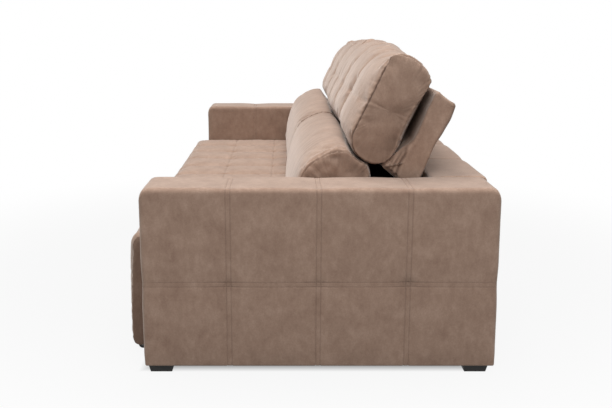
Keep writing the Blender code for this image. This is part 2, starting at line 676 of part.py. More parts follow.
def make_back(side, sign, looks, base):
    # A board in a padded pocket cover, with the cushion on its face. It reclines on two ratchet hinges.
    body = make_body(f"{side}_back_hinge", (0.0, HINGE_Y, HINGE_Z))
    x_in = sign * CENTRE_GAP / 2
    x_out = sign * (INNER_X - SLAB_END_GAP)
    half = SLAB_THICKNESS / 2
    wall = half - BACK_BOARD / 2 - FIT
    cover = prism(f"{side}_back_cover", slab_outline(half, 0.0, SLAB_LENGTH, SLAB_EDGE_RADIUS),
                  min(x_in, x_out), max(x_in, x_out), looks["suede"], body, smooth=True)
    pocket_half = BACK_BOARD / 2 + FIT
    pocket = back_block(f"{side}_back_pocket_cutter", (x_in + sign * wall, x_out - sign * wall),
                        (-pocket_half, pocket_half), (-SLAB_THICKNESS, SLAB_LENGTH - wall),
                        looks["suede"], body)
    boolean(cover, pocket, "DIFFERENCE")
    board = back_block(f"{side}_back_board", (x_in + sign * (wall + FIT), x_out - sign * (wall + FIT)),
                       (-BACK_BOARD / 2, BACK_BOARD / 2), (-BACK_BOARD_DROP, SLAB_LENGTH - wall - FIT),
                       looks["wood"], body)
    for place, x in hinge_places(sign):
        notch = back_block(f"{side}_{place}_notch_cutter", (x - HINGE_NOTCH / 2, x + HINGE_NOTCH / 2),
                           (-SLAB_THICKNESS, SLAB_THICKNESS), (-SLAB_THICKNESS, HINGE_PLATE_LENGTH + FIT),
                           looks["suede"], body)
        boolean(cover, notch, "DIFFERENCE")
        boolean(board, notch, "DIFFERENCE")
        make_hinge(side, place, x, looks, base, body)
    make_upper_cushion(side, sign, looks["suede"], body)


def main():
    clear_scene()
    looks = {
        "suede": make_material("suede", (150, 126, 113), 0.9),
        "wood": make_material("frame_board", (190, 155, 112), 0.7),
        "covered": make_material("suede_covered_board", (140, 116, 103), 0.9),
        "lining": make_material("black_lining", (24, 21, 19), 0.9),
        "plastic": make_material("black_plastic", (30, 27, 26), 0.5),
        "steel": make_material("zinc_steel", (150, 150, 152), 0.35, 1.0),
    }
    base = make_body("base", (0.0, 0.0, 0.0))
    make_base(looks["wood"], base)
    make_rear_box(looks, base)
    for side, sign in SIDES:
        make_arm(side, sign, looks["suede"], looks["wood"], base)
        make_feet(side, sign, looks["plastic"], base)
        make_lumbar(side, sign, looks["suede"], base)
        make_seat(side, sign, looks, base)
        make_back(side, sign, looks, base)


main()
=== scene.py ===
import json
import math
import time

import bpy
import numpy as np
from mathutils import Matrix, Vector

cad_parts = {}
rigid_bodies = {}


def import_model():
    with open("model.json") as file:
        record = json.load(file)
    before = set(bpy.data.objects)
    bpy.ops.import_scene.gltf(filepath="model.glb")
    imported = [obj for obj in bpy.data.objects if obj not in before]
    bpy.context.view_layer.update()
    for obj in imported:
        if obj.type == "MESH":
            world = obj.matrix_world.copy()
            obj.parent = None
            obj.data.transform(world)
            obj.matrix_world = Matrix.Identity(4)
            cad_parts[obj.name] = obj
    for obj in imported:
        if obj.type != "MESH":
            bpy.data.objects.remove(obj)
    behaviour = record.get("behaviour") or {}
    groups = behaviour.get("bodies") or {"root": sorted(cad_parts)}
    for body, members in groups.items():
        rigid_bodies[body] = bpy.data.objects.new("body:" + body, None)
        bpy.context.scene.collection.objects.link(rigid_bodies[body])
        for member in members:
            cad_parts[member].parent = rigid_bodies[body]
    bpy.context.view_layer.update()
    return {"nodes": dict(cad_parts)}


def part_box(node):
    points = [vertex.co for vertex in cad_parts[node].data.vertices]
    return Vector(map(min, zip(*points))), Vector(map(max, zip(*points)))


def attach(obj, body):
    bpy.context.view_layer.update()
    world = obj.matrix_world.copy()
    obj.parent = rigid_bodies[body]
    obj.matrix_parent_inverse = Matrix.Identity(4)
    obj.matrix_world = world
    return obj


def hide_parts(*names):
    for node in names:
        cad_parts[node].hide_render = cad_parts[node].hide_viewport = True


for oldObject in list(bpy.data.objects):
    bpy.data.objects.remove(oldObject)
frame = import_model()
print("frame loaded:", len(frame["nodes"]), "solids")


def linear(red, green, blue):
    # display colour, 0 to 255, to the linear values that shaders take
    level = np.array([red, green, blue]) / 255
    return (*np.where(level < 0.04045, level / 12.92, ((level + 0.055) / 1.055) ** 2.4), 1.0)


def ease(low, high, value):
    # 0 before low, 1 after high, smoothstep between
    share = np.clip((value - low) / (high - low), 0, 1)
    return share * share * (3 - 2 * share)


def bell(distance, width):
    # 1 on a line, falling off either side as a bell curve
    return np.exp(-(distance / width) ** 2)


def nearest(values, lines):
    # distance from each value to the nearest line
    return np.abs(np.asarray(values)[..., None] - np.asarray(lines)).min(axis=-1)


cloudSize = 4096        # random values in a cloud's table
cloudMix = (73856093, 19349663, 83492791)       # large primes that spread the cubes over it


def cloud(points, cell, seed):
    # smooth random field, -1 to 1: random values at the corners of cubes, eased between them
    table = np.random.default_rng(seed).uniform(-1, 1, cloudSize)
    whole = np.floor(points / cell).astype(np.int64)
    part = points / cell - whole
    part = part * part * (3 - 2 * part)
    total = np.zeros(points.shape[:-1])
    for corner in np.ndindex(2, 2, 2):
        at = (whole + corner) * cloudMix
        share = np.where(corner, part, 1 - part).prod(axis=-1)
        total += share * table[(at[..., 0] ^ at[..., 1] ^ at[..., 2]) & (cloudSize - 1)]
    return total


def clouds(points, layers, seeds):
    # clouds of given heights and cell sizes, added up
    return sum(height * cloud(points, cell, seed) for seed, (height, cell) in zip(seeds, layers))


def spreadLines(low, high, step, seams=(), beside=(0,)):
    # even grid lines from low to high, with close lines beside each seam and none crowding them
    margin, crowd = 0.001, 0.35 * step
    even = np.linspace(low, high, max(2, round((high - low) / step) + 1))
    if not len(seams):
        return even
    close = (np.asarray(seams)[:, None] + np.asarray(beside)).ravel()
    away = nearest(even, seams) > max(beside) + crowd
    away[[0, -1]] = True
    close = close[(close > low + margin) & (close < high - margin)]
    return np.unique(np.round(np.concatenate([even[away], close]), 6))


def arc(centre, radii, start, end, steps):
    # points of an ellipse's arc, both ends included, angles in degrees
    angle = np.radians(np.linspace(start, end, steps + 1))
    return np.asarray(centre) + np.asarray(radii) * np.stack([np.cos(angle), np.sin(angle)], axis=1)


def straight(start, end, count):
    # even points on a line from start to end, ends counted but left out
    share = np.linspace(0, 1, count)[1:-1, None]
    return np.asarray(start) * (1 - share) + np.asarray(end) * share


def closedCurve(knots, count):
    # closed Catmull-Rom curve through the knots, then points at even distances along it
    knots = np.asarray(knots, float)
    place = np.linspace(0, len(knots), count * 6, endpoint=False)
    index = place.astype(int)
    t = (place - index)[:, None]
    a, b, c, d = (knots[(index + k) % len(knots)] for k in (-1, 0, 1, 2))
    bend, twist = (2 * a - 5 * b + 4 * c - d) / 2, 3 * b - a - 3 * c + d
    fine = b + t * ((c - a) / 2 + t * (bend + t * twist / 2))
    ends = np.concatenate([fine, fine[:1]])
    far = lengthAlong(ends)
    even = np.linspace(0, far[-1], count, endpoint=False)
    return np.stack([np.interp(even, far, ends[:, k]) for k in range(knots.shape[1])], axis=1)


def lengthAlong(points):
    # distance travelled along a line of points
    return np.concatenate([[0], np.cumsum(np.linalg.norm(np.diff(points, axis=0), axis=1))])


def outward(loop):
    # outward direction at each point of a closed loop, square to the line through its neighbours
    along = np.roll(loop, -1, axis=0) - np.roll(loop, 1, axis=0)
    along /= np.linalg.norm(along, axis=1, keepdims=True)
    after = np.roll(loop, -1, axis=0)
    turn = np.sign(np.sum(loop[:, 0] * after[:, 1] - after[:, 0] * loop[:, 1]))
    return turn * np.stack([along[:, 1], -along[:, 0]], axis=1)


def finer(rings):
    # twice the lines both ways, the new ones on cubic curves through the old; columns run round
    before, after, beyond = (np.roll(rings, shift, 1) for shift in (1, -1, -2))
    between = (9 * (rings + after) - before - beyond) / 16
    wide = np.stack([rings, between], axis=2).reshape(len(rings), -1, rings.shape[2])
    longer = np.concatenate([2 * wide[:1] - wide[1:2], wide, 2 * wide[-1:] - wide[-2:-1]])
    middle = (9 * (wide[:-1] + wide[1:]) - longer[:-3] - longer[3:]) / 16
    tall = np.empty((2 * len(wide) - 1, *wide.shape[1:]))
    tall[::2], tall[1::2] = wide, middle
    return tall


def putMesh(name, points, groups):
    # a mesh from points and groups of faces with one corner count each, turned to face outwards
    volume = 0.0
    for group in groups:
        first = points[group[:, 0]]
        for k in range(1, group.shape[1] - 1):
            spread = np.cross(points[group[:, k]], points[group[:, k + 1]])
            volume += np.einsum("ij,ij->", first, spread)
    if volume < 0:
        groups = [group[:, ::-1] for group in groups]
    corners = np.concatenate([group.ravel() for group in groups]).astype(np.int32)
    sizes = np.concatenate([np.full(len(group), group.shape[1]) for group in groups])
    data = bpy.data.meshes.new(name)
    data.vertices.add(len(points))
    data.vertices.foreach_set("co", points.astype(np.float32).ravel())
    data.loops.add(len(corners))
    data.loops.foreach_set("vertex_index", corners)
    data.polygons.add(len(sizes))
    data.polygons.foreach_set("loop_start", (np.cumsum(sizes) - sizes).astype(np.int32))
    data.polygons.foreach_set("use_smooth", np.ones(len(sizes), bool))
    data.update(calc_edges=True)
    piece = bpy.data.objects.new(name, data)
    bpy.context.scene.collection.objects.link(piece)
    return piece


def skin(name, rings, facing=None):
    # closed skin over a stack of closed rings; each end is shut by one face, or by a ladder of quads
    # between two facing rows of columns and one face beyond either end of it
    rows, columns = rings.shape[:2]
    row, here = (part.ravel() * size for part, size in zip(
        np.meshgrid(np.arange(rows - 1), np.arange(columns), indexing="ij"), (columns, 1)))
    beside = (here + 1) % columns
    above = row + columns
    quads = np.stack([row + here, row + beside, above + beside, above + here], axis=1)
    caps = [np.arange(columns)[None]]
    if facing:
        a, b = facing
        caps = [np.stack([a[:-1], a[1:], b[1:], b[:-1]], axis=1),
                np.arange(a[-1], b[-1] + 1)[None], np.arange(b[0], a[0] + 1)[None]]
    last = (rows - 1) * columns
    groups = [quads] + [part for cap in caps for part in (cap[:, ::-1], last + cap)]
    return putMesh(name, rings.reshape(-1, 3), groups)


def pointsOf(data):
    # places of a mesh's points, one row each
    found = np.empty(len(data.vertices) * 3, np.float32)
    data.vertices.foreach_get("co", found)
    return found.reshape(-1, 3).astype(float)


def normalsOf(data):
    # outward directions at a mesh's points, one row each
    found = np.empty(len(data.vertices) * 3, np.float32)
    data.vertex_normals.foreach_get("vector", found)
    return found.reshape(-1, 3).astype(float)


def movePoints(piece, points):
    piece.data.vertices.foreach_set("co", points.astype(np.float32).ravel())
    piece.data.update()


def pushOut(piece, height):
    # moves each point along its own normal by its height
    movePoints(piece, pointsOf(piece.data) + normalsOf(piece.data) * np.ravel(height)[:, None])


middleGap = 0.0012      # from the sofa's middle to either half


def keepApart(points, sign):
    # stops a piece just short of the sofa's middle, where its twin begins
    made = points.copy()
    made[..., 0] = sign * np.maximum(sign * made[..., 0], middleGap)
    return made


def paint(piece, name, values):
    # one number at each point, for the materials to read
    layer = piece.data.attributes.new(name, "FLOAT", "POINT")
    layer.data.foreach_set("value", np.ravel(values).astype(np.float32))


def puffUp(name, rings, held, puff):
    started = time.perf_counter()
    piece = skin(name, rings)
    group = piece.vertex_groups.new(name="sewn")
    held = np.ravel(held)
    for level in np.unique(held[held > 0]):
        group.add(np.flatnonzero(held == level).tolist(), float(level), "REPLACE")
    cloth = piece.modifiers.new("cloth", "CLOTH")
    rule = cloth.settings
    rule.quality = 5
    rule.mass = 0.3
    rule.tension_stiffness = rule.compression_stiffness = 15
    rule.shear_stiffness = 5
    rule.bending_stiffness = puff["bending"]
    rule.use_pressure = True
    rule.uniform_pressure_force = puff["pressure"]
    rule.shrink_min = -puff["spare"]
    rule.vertex_group_mass = "sewn"
    rule.effector_weights.gravity = 0
    cloth.point_cache.frame_start = 1
    cloth.point_cache.frame_end = puff["frames"]
    for step in range(1, puff["frames"] + 1):
        bpy.context.scene.frame_set(step)
    swollen = piece.evaluated_get(bpy.context.evaluated_depsgraph_get())
    moved = pointsOf(swollen.to_mesh()) - rings.reshape(-1, 3)
    swollen.to_mesh_clear()
    bpy.data.objects.remove(piece)
    bpy.context.scene.frame_set(1)
    size = np.maximum(np.linalg.norm(moved, axis=1, keepdims=True), 1e-9)
    took = time.perf_counter() - started
    print(name, "swelled by up to %.1f mm in %.0f s" % (1000 * size.max(), took))
    moved *= puff["cap"] * np.tanh(size / puff["cap"]) / size
    return rings + moved.reshape(rings.shape)


def addNode(tree, kind, sockets=None, **settings):
    # one node; its sockets take numbers, or links from other nodes' outputs
    node = tree.nodes.new(kind)
    for name, value in settings.items():
        setattr(node, name, value)
    for socket, value in (sockets or {}).items():
        if isinstance(value, bpy.types.NodeSocket):
            tree.links.new(value, node.inputs[socket])
        else:
            node.inputs[socket].default_value = value
    return node


def noise(tree, place, scale, detail=3, roughness=0.55, distortion=0.0):
    # level of a noise, with its cells to the metre
    return addNode(tree, "ShaderNodeTexNoise", {
        "Vector": place, "Scale": scale, "Detail": detail, "Roughness": roughness,
        "Distortion": distortion}).outputs["Fac"]


def stretched(tree, place, scale):
    # the place, scaled along each axis
    return addNode(tree, "ShaderNodeMapping", {"Vector": place, "Scale": scale}).outputs["Vector"]


def arith(tree, operation, a, b):
    # one sum, product or the like of two levels
    return addNode(tree, "ShaderNodeMath", {0: a, 1: b}, operation=operation).outputs[0]


def ramp(tree, value, stops):
    # a level to a colour, by stops
    made = addNode(tree, "ShaderNodeValToRGB", {"Fac": value})
    while len(made.color_ramp.elements) < len(stops):
        made.color_ramp.elements.new(0.5)
    for element, (position, colour) in zip(made.color_ramp.elements, stops):
        element.position = position
        element.color = colour
    return made.outputs["Color"]


def mixColour(tree, share, a, b):
    # sockets 6, 7 and output 2 are the node's colours
    return addNode(tree, "ShaderNodeMix", {0: share, 6: a, 7: b}, data_type="RGBA").outputs[2]


def bump(tree, height, strength, distance, under=None):
    # a normal from a height, over another normal if one is given
    sockets = {"Height": height, "Strength": strength, "Distance": distance}
    if under:
        sockets["Normal"] = under
    return addNode(tree, "ShaderNodeBump", sockets).outputs["Normal"]


def newMaterial(name, **sockets):
    # a Principled material; settings with the same value all over go straight on its sockets
    material = bpy.data.materials.new(name)
    material.use_nodes = True
    shader = material.node_tree.nodes["Principled BSDF"]
    for socket, value in sockets.items():
        shader.inputs[socket.replace("_", " ")].default_value = value
    place = addNode(material.node_tree, "ShaderNodeTexCoord").outputs["Object"]
    return material, material.node_tree, shader, place


def feed(tree, shader, **outputs):
    # links nodes' outputs to the shader's sockets
    for socket, output in outputs.items():
        tree.links.new(output, shader.inputs[socket.replace("_", " ")])


suede = {
    "tones": ((0.37, (147, 120, 104)), (0.5, (162, 135, 118)), (0.63, (177, 150, 133))),
    "sewn": (84, 66, 56),       # bottom of a seam, and the colour of the painted shade in creases, gaps and dips
    "sheen": 0.6,
    "sheenEnd": 0.7,            # how dark a place is painted where the sheen is gone
    "sheenTint": (255, 247, 240),
    "layers": {                 # cells to the metre, detail, roughness and share of the tone
        "patches": (13, 4, 0.6, 0.4),
        "strokes": (55, 4, 0.65, 0.27),
        "grain": (190, 3, 0.6, 0.2),
        "pile": (620, 2, 0.6, 0.13),
    },
    "nap": (1, 1, 0.6),         # how the strokes are drawn out
}


def suedeMaterial():
    # brushed patches, strokes of the nap and the fine pile; darker and duller down in the seams and
    # where shade is painted into creases, gaps and dips
    material, tree, shader, place = newMaterial(
        "suede", Roughness=0.92, Specular_IOR_Level=0.15, Sheen_Roughness=0.45,
        Sheen_Tint=linear(*suede["sheenTint"]))
    layers, tone = {}, None
    for name, (scale, detail, roughness, share) in suede["layers"].items():
        where = stretched(tree, place, suede["nap"]) if name == "strokes" else place
        layers[name] = noise(tree, where, scale, detail, roughness)
        part = arith(tree, "MULTIPLY", layers[name], share)
        tone = arith(tree, "ADD", tone, part) if tone else part
    colour = ramp(tree, tone, [(stop, linear(*level)) for stop, level in suede["tones"]])
    # the sewn attribute holds the seams' own dark and painted shade; it darkens the colour and fades
    # the sheen
    sewn = addNode(tree, "ShaderNodeAttribute", attribute_name="sewn").outputs["Fac"]
    sheen = addNode(tree, "ShaderNodeMapRange", {
        "Value": sewn, "From Max": suede["sheenEnd"], "To Min": suede["sheen"], "To Max": 0.0})
    soft = bump(tree, layers["strokes"], 0.18, 0.003)
    feed(tree, shader, Base_Color=mixColour(tree, sewn, colour, linear(*suede["sewn"])),
         Sheen_Weight=sheen.outputs["Result"], Normal=bump(tree, layers["pile"], 0.22, 0.0008, soft))
    return material


plainFinish = {     # two tones and the shares of the noise where they stand, then two roughnesses
    "thread": (((112, 90, 78), (146, 122, 108)), (0.3, 0.7), None),
    "board": (((168, 132, 92), (205, 172, 130)), (0.3, 0.7), None),
    "lining": (((16, 14, 13), (32, 28, 26)), (0.3, 0.7), None),
    "blackPlastic": (((15, 14, 14), (26, 25, 24)), (0.35, 0.7), ((0.3, 0.45), (0.7, 0.62))),
    "zincSteel": (((150, 153, 156), (186, 188, 190)), (0.2, 0.8), ((0.2, 0.32), (0.8, 0.46))),
}


def twoTones(tree, shader, name, value):
    # colour, and roughness where it varies, by the level of a noise
    tones, stops, roughness = plainFinish[name]
    colours = [(stop, linear(*tone)) for stop, tone in zip(stops, tones)]
    feed(tree, shader, Base_Color=ramp(tree, value, colours))
    if roughness:
        levels = [(stop, (level, level, level, 1)) for stop, level in roughness]
        feed(tree, shader, Roughness=ramp(tree, value, levels))


def threadMaterial():
    material, tree, shader, place = newMaterial("thread", Roughness=0.7, Sheen_Weight=0.2)
    twoTones(tree, shader, "thread", noise(tree, place, 900, 2))
    return material


def boardMaterial():
    # raw beech board: long grain with darker pores
    material, tree, shader, place = newMaterial("board", Roughness=0.7)
    grain = noise(tree, stretched(tree, place, (4, 40, 40)), 3, 5, 0.6, 0.6)
    twoTones(tree, shader, "board", grain)
    feed(tree, shader, Normal=bump(tree, grain, 0.2, 0.001))
    return material


def liningMaterial():
    # black felted lining
    material, tree, shader, place = newMaterial("lining", Roughness=0.95, Sheen_Weight=0.05)
    felt = noise(tree, place, 240, 3)
    twoTones(tree, shader, "lining", felt)
    feed(tree, shader, Normal=bump(tree, felt, 0.4, 0.001))
    return material


def plasticMaterial():
    # moulded black plastic with a fine spark-eroded grain and scuffed patches
    material, tree, shader, place = newMaterial("blackPlastic", Specular_IOR_Level=0.4)
    twoTones(tree, shader, "blackPlastic", noise(tree, place, 60, 4))
    feed(tree, shader, Normal=bump(tree, noise(tree, place, 1500, 2), 0.25, 0.0004))
    return material


def steelMaterial():
    # zinc-plated steel: pale flakes of the plating
    material, tree, shader, place = newMaterial("zincSteel", Metallic=1.0)
    flakes = addNode(tree, "ShaderNodeTexVoronoi", {"Vector": place, "Scale": 160}).outputs["Color"]
    level = addNode(tree, "ShaderNodeRGBToBW", {"Color": flakes}).outputs["Val"]
    twoTones(tree, shader, "zincSteel", level)
    return material


finishes = {
    "suede": suedeMaterial(),
    "thread": threadMaterial(),
    "frame_board": boardMaterial(),
    "black_lining": liningMaterial(),
    "black_plastic": plasticMaterial(),
    "zinc_steel": steelMaterial(),
}
print("materials made:", len(finishes))


def dress(piece, body, nodes=(), finish="suede"):
    # material, body and the CAD solids that the piece stands for
    piece.data.materials.append(finishes[finish])
    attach(piece, body)
    if nodes:
        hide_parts(*nodes)


def onBothSides(make):
    for side, sign in (("left", 1), ("right", -1)):
        make(side, sign)


thread = {
    "pitch": 0.0062,
    "length": 0.0046,
    "width": 0.0011,
    "height": 0.0007,
    "probe": 0.001,         # how far to either side a stitch's direction is measured
}


def stitchRows(name, paths, body):
    # one small spindle for each stitch: two rings of four corners and a point at each end
    centres, alongs, ups = [], [], []
    probe = thread["probe"]
    for points, normals in paths:
        far = lengthAlong(points)
        at = np.arange(thread["pitch"] / 2, far[-1], thread["pitch"])
        centre, before, after, up = (
            np.stack([np.interp(at + shift, far, line[:, k]) for k in range(3)], axis=1)
            for shift, line in ((0, points), (-probe, points), (probe, points), (0, normals)))
        centres.append(centre)
        alongs.append(after - before)
        ups.append(up)
    centre, along, up = (np.concatenate(part) for part in (centres, alongs, ups))
    along /= np.linalg.norm(along, axis=1, keepdims=True)
    across = np.cross(along, up)
    across /= np.linalg.norm(across, axis=1, keepdims=True)
    up = np.cross(across, along)
    shape = np.array([(-1, 0, -0.6), (-0.4, 1, 0), (-0.4, 0, 1), (-0.4, -1, 0), (-0.4, 0, -1),
                      (0.4, 1, 0), (0.4, 0, 1), (0.4, -1, 0), (0.4, 0, -1), (1, 0, -0.6)])
    shape *= (thread["length"] / 2, thread["width"] / 2, thread["height"])
    basis = np.stack([along, across, up], axis=1)
    points = (centre[:, None] + np.einsum("sk,nkd->nsd", shape, basis)).reshape(-1, 3)
    start = len(shape) * np.arange(len(centre))[:, None, None]
    ring = np.array([(1, 2), (2, 3), (3, 4), (4, 1)])
    tips = np.concatenate([np.column_stack([np.zeros(4, int), ring]),
                           np.column_stack([np.full(4, 9), ring[:, ::-1] + 4])])
    walls = np.column_stack([ring[:, ::-1], ring + 4])
    piece = putMesh(name, points, [(start + tips).reshape(-1, 3), (start + walls).reshape(-1, 4)])
    dress(piece, body, finish="thread")
    return len(centre)


sewing = {
    "beside": (-0.022, -0.014, -0.0105, -0.0085, -0.007, -0.0055, -0.003, -0.001,
               0.001, 0.003, 0.0055, 0.007, 0.0085, 0.0105, 0.014, 0.022),  # grid lines at a seam
    "apart": 0.007,           # each row of stitches from its seam
    "grooveWidth": 0.003,
    "rowWidth": 0.0018,
    "levelShare": 0.4,        # how much of groove and rows the level seam has
    "panelEdge": 0.05,        # how far from a seam a panel still rises
    # seams painted dark, partly their own dark and partly painted shade in their dents
    "grooveDark": 0.05,
    "rowDark": 0.19,
}
darkestPainted = 0.9                # darkest that a place is painted, seam or painted shade
nowhere = 9                   # further off than anything in the sofa


def seamShape(off, levelOff, levelShare):
    # groove and rows of stitches along upright and level seams, by the distance from both, and how
    # far the panels are held down there
    groove, rows = (np.maximum(bell(off - apart, width), levelShare * bell(levelOff - apart, width))
                    for apart, width in ((0, sewing["grooveWidth"]),
                                         (sewing["apart"], sewing["rowWidth"])))
    shut = bell(off, sewing["panelEdge"]) + bell(levelOff, sewing["panelEdge"])
    return groove, rows, np.minimum(shut, 1)


def seamDark(groove, rows):
    # how dark a seam is painted: partly its own dark, partly painted shade in its groove and beside
    # its rows
    return sewing["grooveDark"] * groove + sewing["rowDark"] * rows


def seamRows(places, seams):
    # numbers of the grid rows that carry the stitches on either side of each seam
    return [np.abs(places - seam - off).argmin()
            for seam in seams for off in (-sewing["apart"], sewing["apart"])]


def columnAt(loop, across, up):
    # number of the loop's point at a place
    return np.flatnonzero((np.abs(loop[:, 0] - across) < 1e-6) & (np.abs(loop[:, 1] - up) < 1e-5))[0]


arm = {
    "step": 0.014,
    "topLines": 16,
    "topRadius": 0.030,       # over the ends of the arm's top
    "topFade": 0.14,          # how far below the top that round has faded
    "edgeRadius": 0.015,
    "footRadius": 0.006,
    "footFade": 0.06,         # how far above the foot the ends' edges have their full radius
    "core": (0.003, 0.04),    # half width of the end faces' middle strip, its share of their shape
    "inset": 0.97,            # share of the radius by which the end faces lie inside
    "endShares": (1, 0.86, 0.7, 0.54, 0.38, 0.24, 0.12, 0.05),
    "endTurns": 7,
    "endMargin": 0.002,               # from the rounded ends to the first line
    "endLines": (0.004, 0.04, 6),     # more lines beyond that: first, last and count
    "rearFlare": 0.008,       # how far the foot of the rear end stands out
    "rearLean": (0.33, 0.58), # where along the arm it starts and is full
    "seamsAlong": (-0.245, 0.034, 0.313),
    "seamUp": 0.295,
    "seamDepth": 0.0008,
    "stitchDepth": 0.0018,
    "puff": 0.0030,
    "puffFoot": (0.005, 0.05),        # above the foot, where the panels start to swell and are full
    "pinch": (0.0035, 0.022),         # depth and width at the seams' crossings
    "deepPinch": (0.313, 0.295, 0.0045, 0.03),    # the crossing that is drawn in most
    "outerFace": 1.3,                 # what lies further out than this is the outer face
    "waves": ((0.00126, 0.16), (0.00054, 0.05)),  # height and size
    # painted shade in the pinched crossings and on the inner face
    "crossingShade": 0.10,
    "innerShade": 0.13,
    "innerSeams": 0.2,                # how dark the seams are on the inner face
}


def armLoop(xOut, xIn, low, top):
    # across the arm: outer face up, over the top, inner face down and back below, with the outward
    # direction at each point and the radius with which the ends round over there
    edge, foot = arm["edgeRadius"], arm["footRadius"]
    up = spreadLines(low + foot, top - edge, arm["step"], (arm["seamUp"],), sewing["beside"])[1:-1]
    over = np.linspace(xOut - edge, xIn + edge, arm["topLines"])[1:-1]
    corner = arc((0, 0), (1, 1), 0, 90, 6)
    quarter = np.array([[0, 1], [-1, 0]])
    parts, facing = [], []

    def add(points, normals):
        parts.append(points)
        facing.append(np.broadcast_to(normals, points.shape))

    def turn(point, radius, steps):
        # the corner's arc, turned by quarter turns
        spun = corner @ np.linalg.matrix_power(quarter, steps)
        add(np.asarray(point) + radius * spun, spun)

    add(np.column_stack([np.full(len(up), xOut), up]), (1, 0))
    turn((xOut - edge, top - edge), edge, 0)
    add(np.column_stack([over, np.full(len(over), top)]), (0, 1))
    turn((xIn + edge, top - edge), edge, 1)
    add(np.column_stack([np.full(len(up), xIn), up[::-1]]), (-1, 0))
    turn((xIn + foot, low + foot), foot, 2)
    add(np.column_stack([over[::-1], np.full(len(over), low)]), (0, -1))
    turn((xOut - foot, low + foot), foot, 3)
    loop, normals = np.concatenate(parts), np.concatenate(facing)
    radius = foot + (edge - foot) * ease(low + foot, low + arm["footFade"], loop[:, 1])
    return loop, normals, radius


def armRings(low, high, xOut, xIn, loop, normals, radius):
    # the loop carried along the arm, between end faces that round over into it
    half = (xOut - xIn) / 2
    middle = np.column_stack([np.full(len(loop), (xOut + xIn) / 2),
                              np.clip(loop[:, 1], low[2] + half, high[2] - half)])
    strip, share = arm["core"]
    core = middle + strip * normals + share * (loop - middle)
    radius = arm["inset"] * radius
    turns = np.radians(np.linspace(0, 90, arm["endTurns"]))

    def end(y, inward):
        # the end face, from a narrow core up its middle outwards, then the rounded edge
        rim = loop - normals * radius[:, None]
        flat = [np.column_stack([rim * (1 - share) + core * share, np.full(len(loop), y)])
                for share in arm["endShares"]]
        edge = [np.column_stack([loop - normals * (radius * (1 - np.sin(a)))[:, None],
                                 y + inward * radius * (1 - np.cos(a))]) for a in turns]
        return flat + edge

    reach = arm["edgeRadius"] + arm["endMargin"]
    start, stop = low[1] + reach, high[1] - reach
    lines = spreadLines(start, stop, arm["step"], arm["seamsAlong"], sewing["beside"])
    early = np.linspace(*arm["endLines"])
    lines = np.unique(np.concatenate([lines, start + early, stop - early]))
    along = [np.column_stack([loop, np.full(len(loop), y)]) for y in lines]
    rings = np.array(end(low[1], 1) + along + end(high[1], -1)[::-1])[..., (0, 2, 1)]
    # the top drops in a round at both ends, and the rear end leans out towards its foot
    bend = arm["topRadius"]
    lift = ease(high[2] - arm["topFade"], high[2], rings[..., 2])
    toEnd = np.minimum(rings[..., 1] - low[1], high[1] - rings[..., 1])
    short = np.maximum(bend - toEnd, 0)
    rings[..., 2] -= lift * (bend - np.sqrt(np.maximum(bend ** 2 - short ** 2, 0)))
    lean = ease(*arm["rearLean"], rings[..., 1]) * (high[2] - rings[..., 2]) / (high[2] - low[2])
    rings[..., 1] += arm["rearFlare"] * lean
    return rings


def makeArm(side, sign):
    node = f"{side}_arm_cover"
    low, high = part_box(node)
    xIn, xOut = sorted((abs(low[0]), abs(high[0])))
    loop, normals, radius = armLoop(xOut, xIn, low[2], high[2])
    rings = armRings(low, high, xOut, xIn, loop, normals, radius) * (sign, 1, 1)
    faces = [np.flatnonzero(np.abs(loop[:, 0] - x) < 1e-6) for x in (xOut, xIn)]
    piece = skin(f"{side}_arm", rings, [face[np.argsort(loop[face, 1])] for face in faces])

    # panels swell between the seams; a seam is a groove with a row of stitches drawn in on each side
    points = rings.reshape(-1, 3)
    out, along, up = points[:, 0] * sign, points[:, 1], points[:, 2]
    alongOff = nearest(along, arm["seamsAlong"])
    upOff = np.abs(up - arm["seamUp"])
    level = sewing["levelShare"] + (1 - sewing["levelShare"]) * bell(alongOff, sewing["panelEdge"])
    groove, rows, shut = seamShape(alongOff, upOff, level)
    pinch, pinchWidth = arm["pinch"]
    deepAlong, deepUp, deep, deepWidth = arm["deepPinch"]
    crossing = bell(np.hypot(alongOff, upOff), pinchWidth)
    crossing += (deep / pinch * bell(np.hypot(along - deepAlong, up - deepUp), deepWidth)
                 * (out > arm["outerFace"]))
    inside = ease(*(low[2] + np.asarray(arm["puffFoot"])), up)
    height = (arm["puff"] * (1 - shut) * inside - arm["seamDepth"] * groove
              - arm["stitchDepth"] * rows - pinch * crossing)
    height += inside * clouds(points, arm["waves"], (11 + sign, 16 + sign))
    pushOut(piece, height)
    # painted: the seams' dark, partly their own and partly shade in the grooves, with painted shade
    # in the pinched crossings and on the inner face
    outside = arm["innerSeams"] + (1 - arm["innerSeams"]) * ease(xIn, xIn + 0.05, out)
    dark = (seamDark(groove, rows) + arm["crossingShade"] * crossing) * outside
    dark += arm["innerShade"] * ease(xIn + 0.012, xIn + 0.004, out)
    paint(piece, "sewn", np.clip(dark, 0, darkestPainted))
    dress(piece, "base", [node])

    # threads run along both sides of each seam
    grid, facing = (read(piece.data).reshape(rings.shape) for read in (pointsOf, normalsOf))
    climb = np.flatnonzero(loop[:, 1] > low[2] + 0.02)
    paths = [(grid[row, climb], facing[row, climb])
             for row in seamRows(rings[:, 0, 1], arm["seamsAlong"])]
    for off in (-sewing["apart"], sewing["apart"]):
        outer, inner = (columnAt(loop, x, arm["seamUp"] + off) for x in (xOut, xIn))
        paths.append([np.concatenate([part[::-1, outer], part[:, inner], part[-1:, outer]])
                      for part in (grid, facing)])
    count = stitchRows(f"{side}_arm_stitching", paths, "base")
    print(side, "arm:", len(points), "points,", count, "stitches")


onBothSides(makeArm)

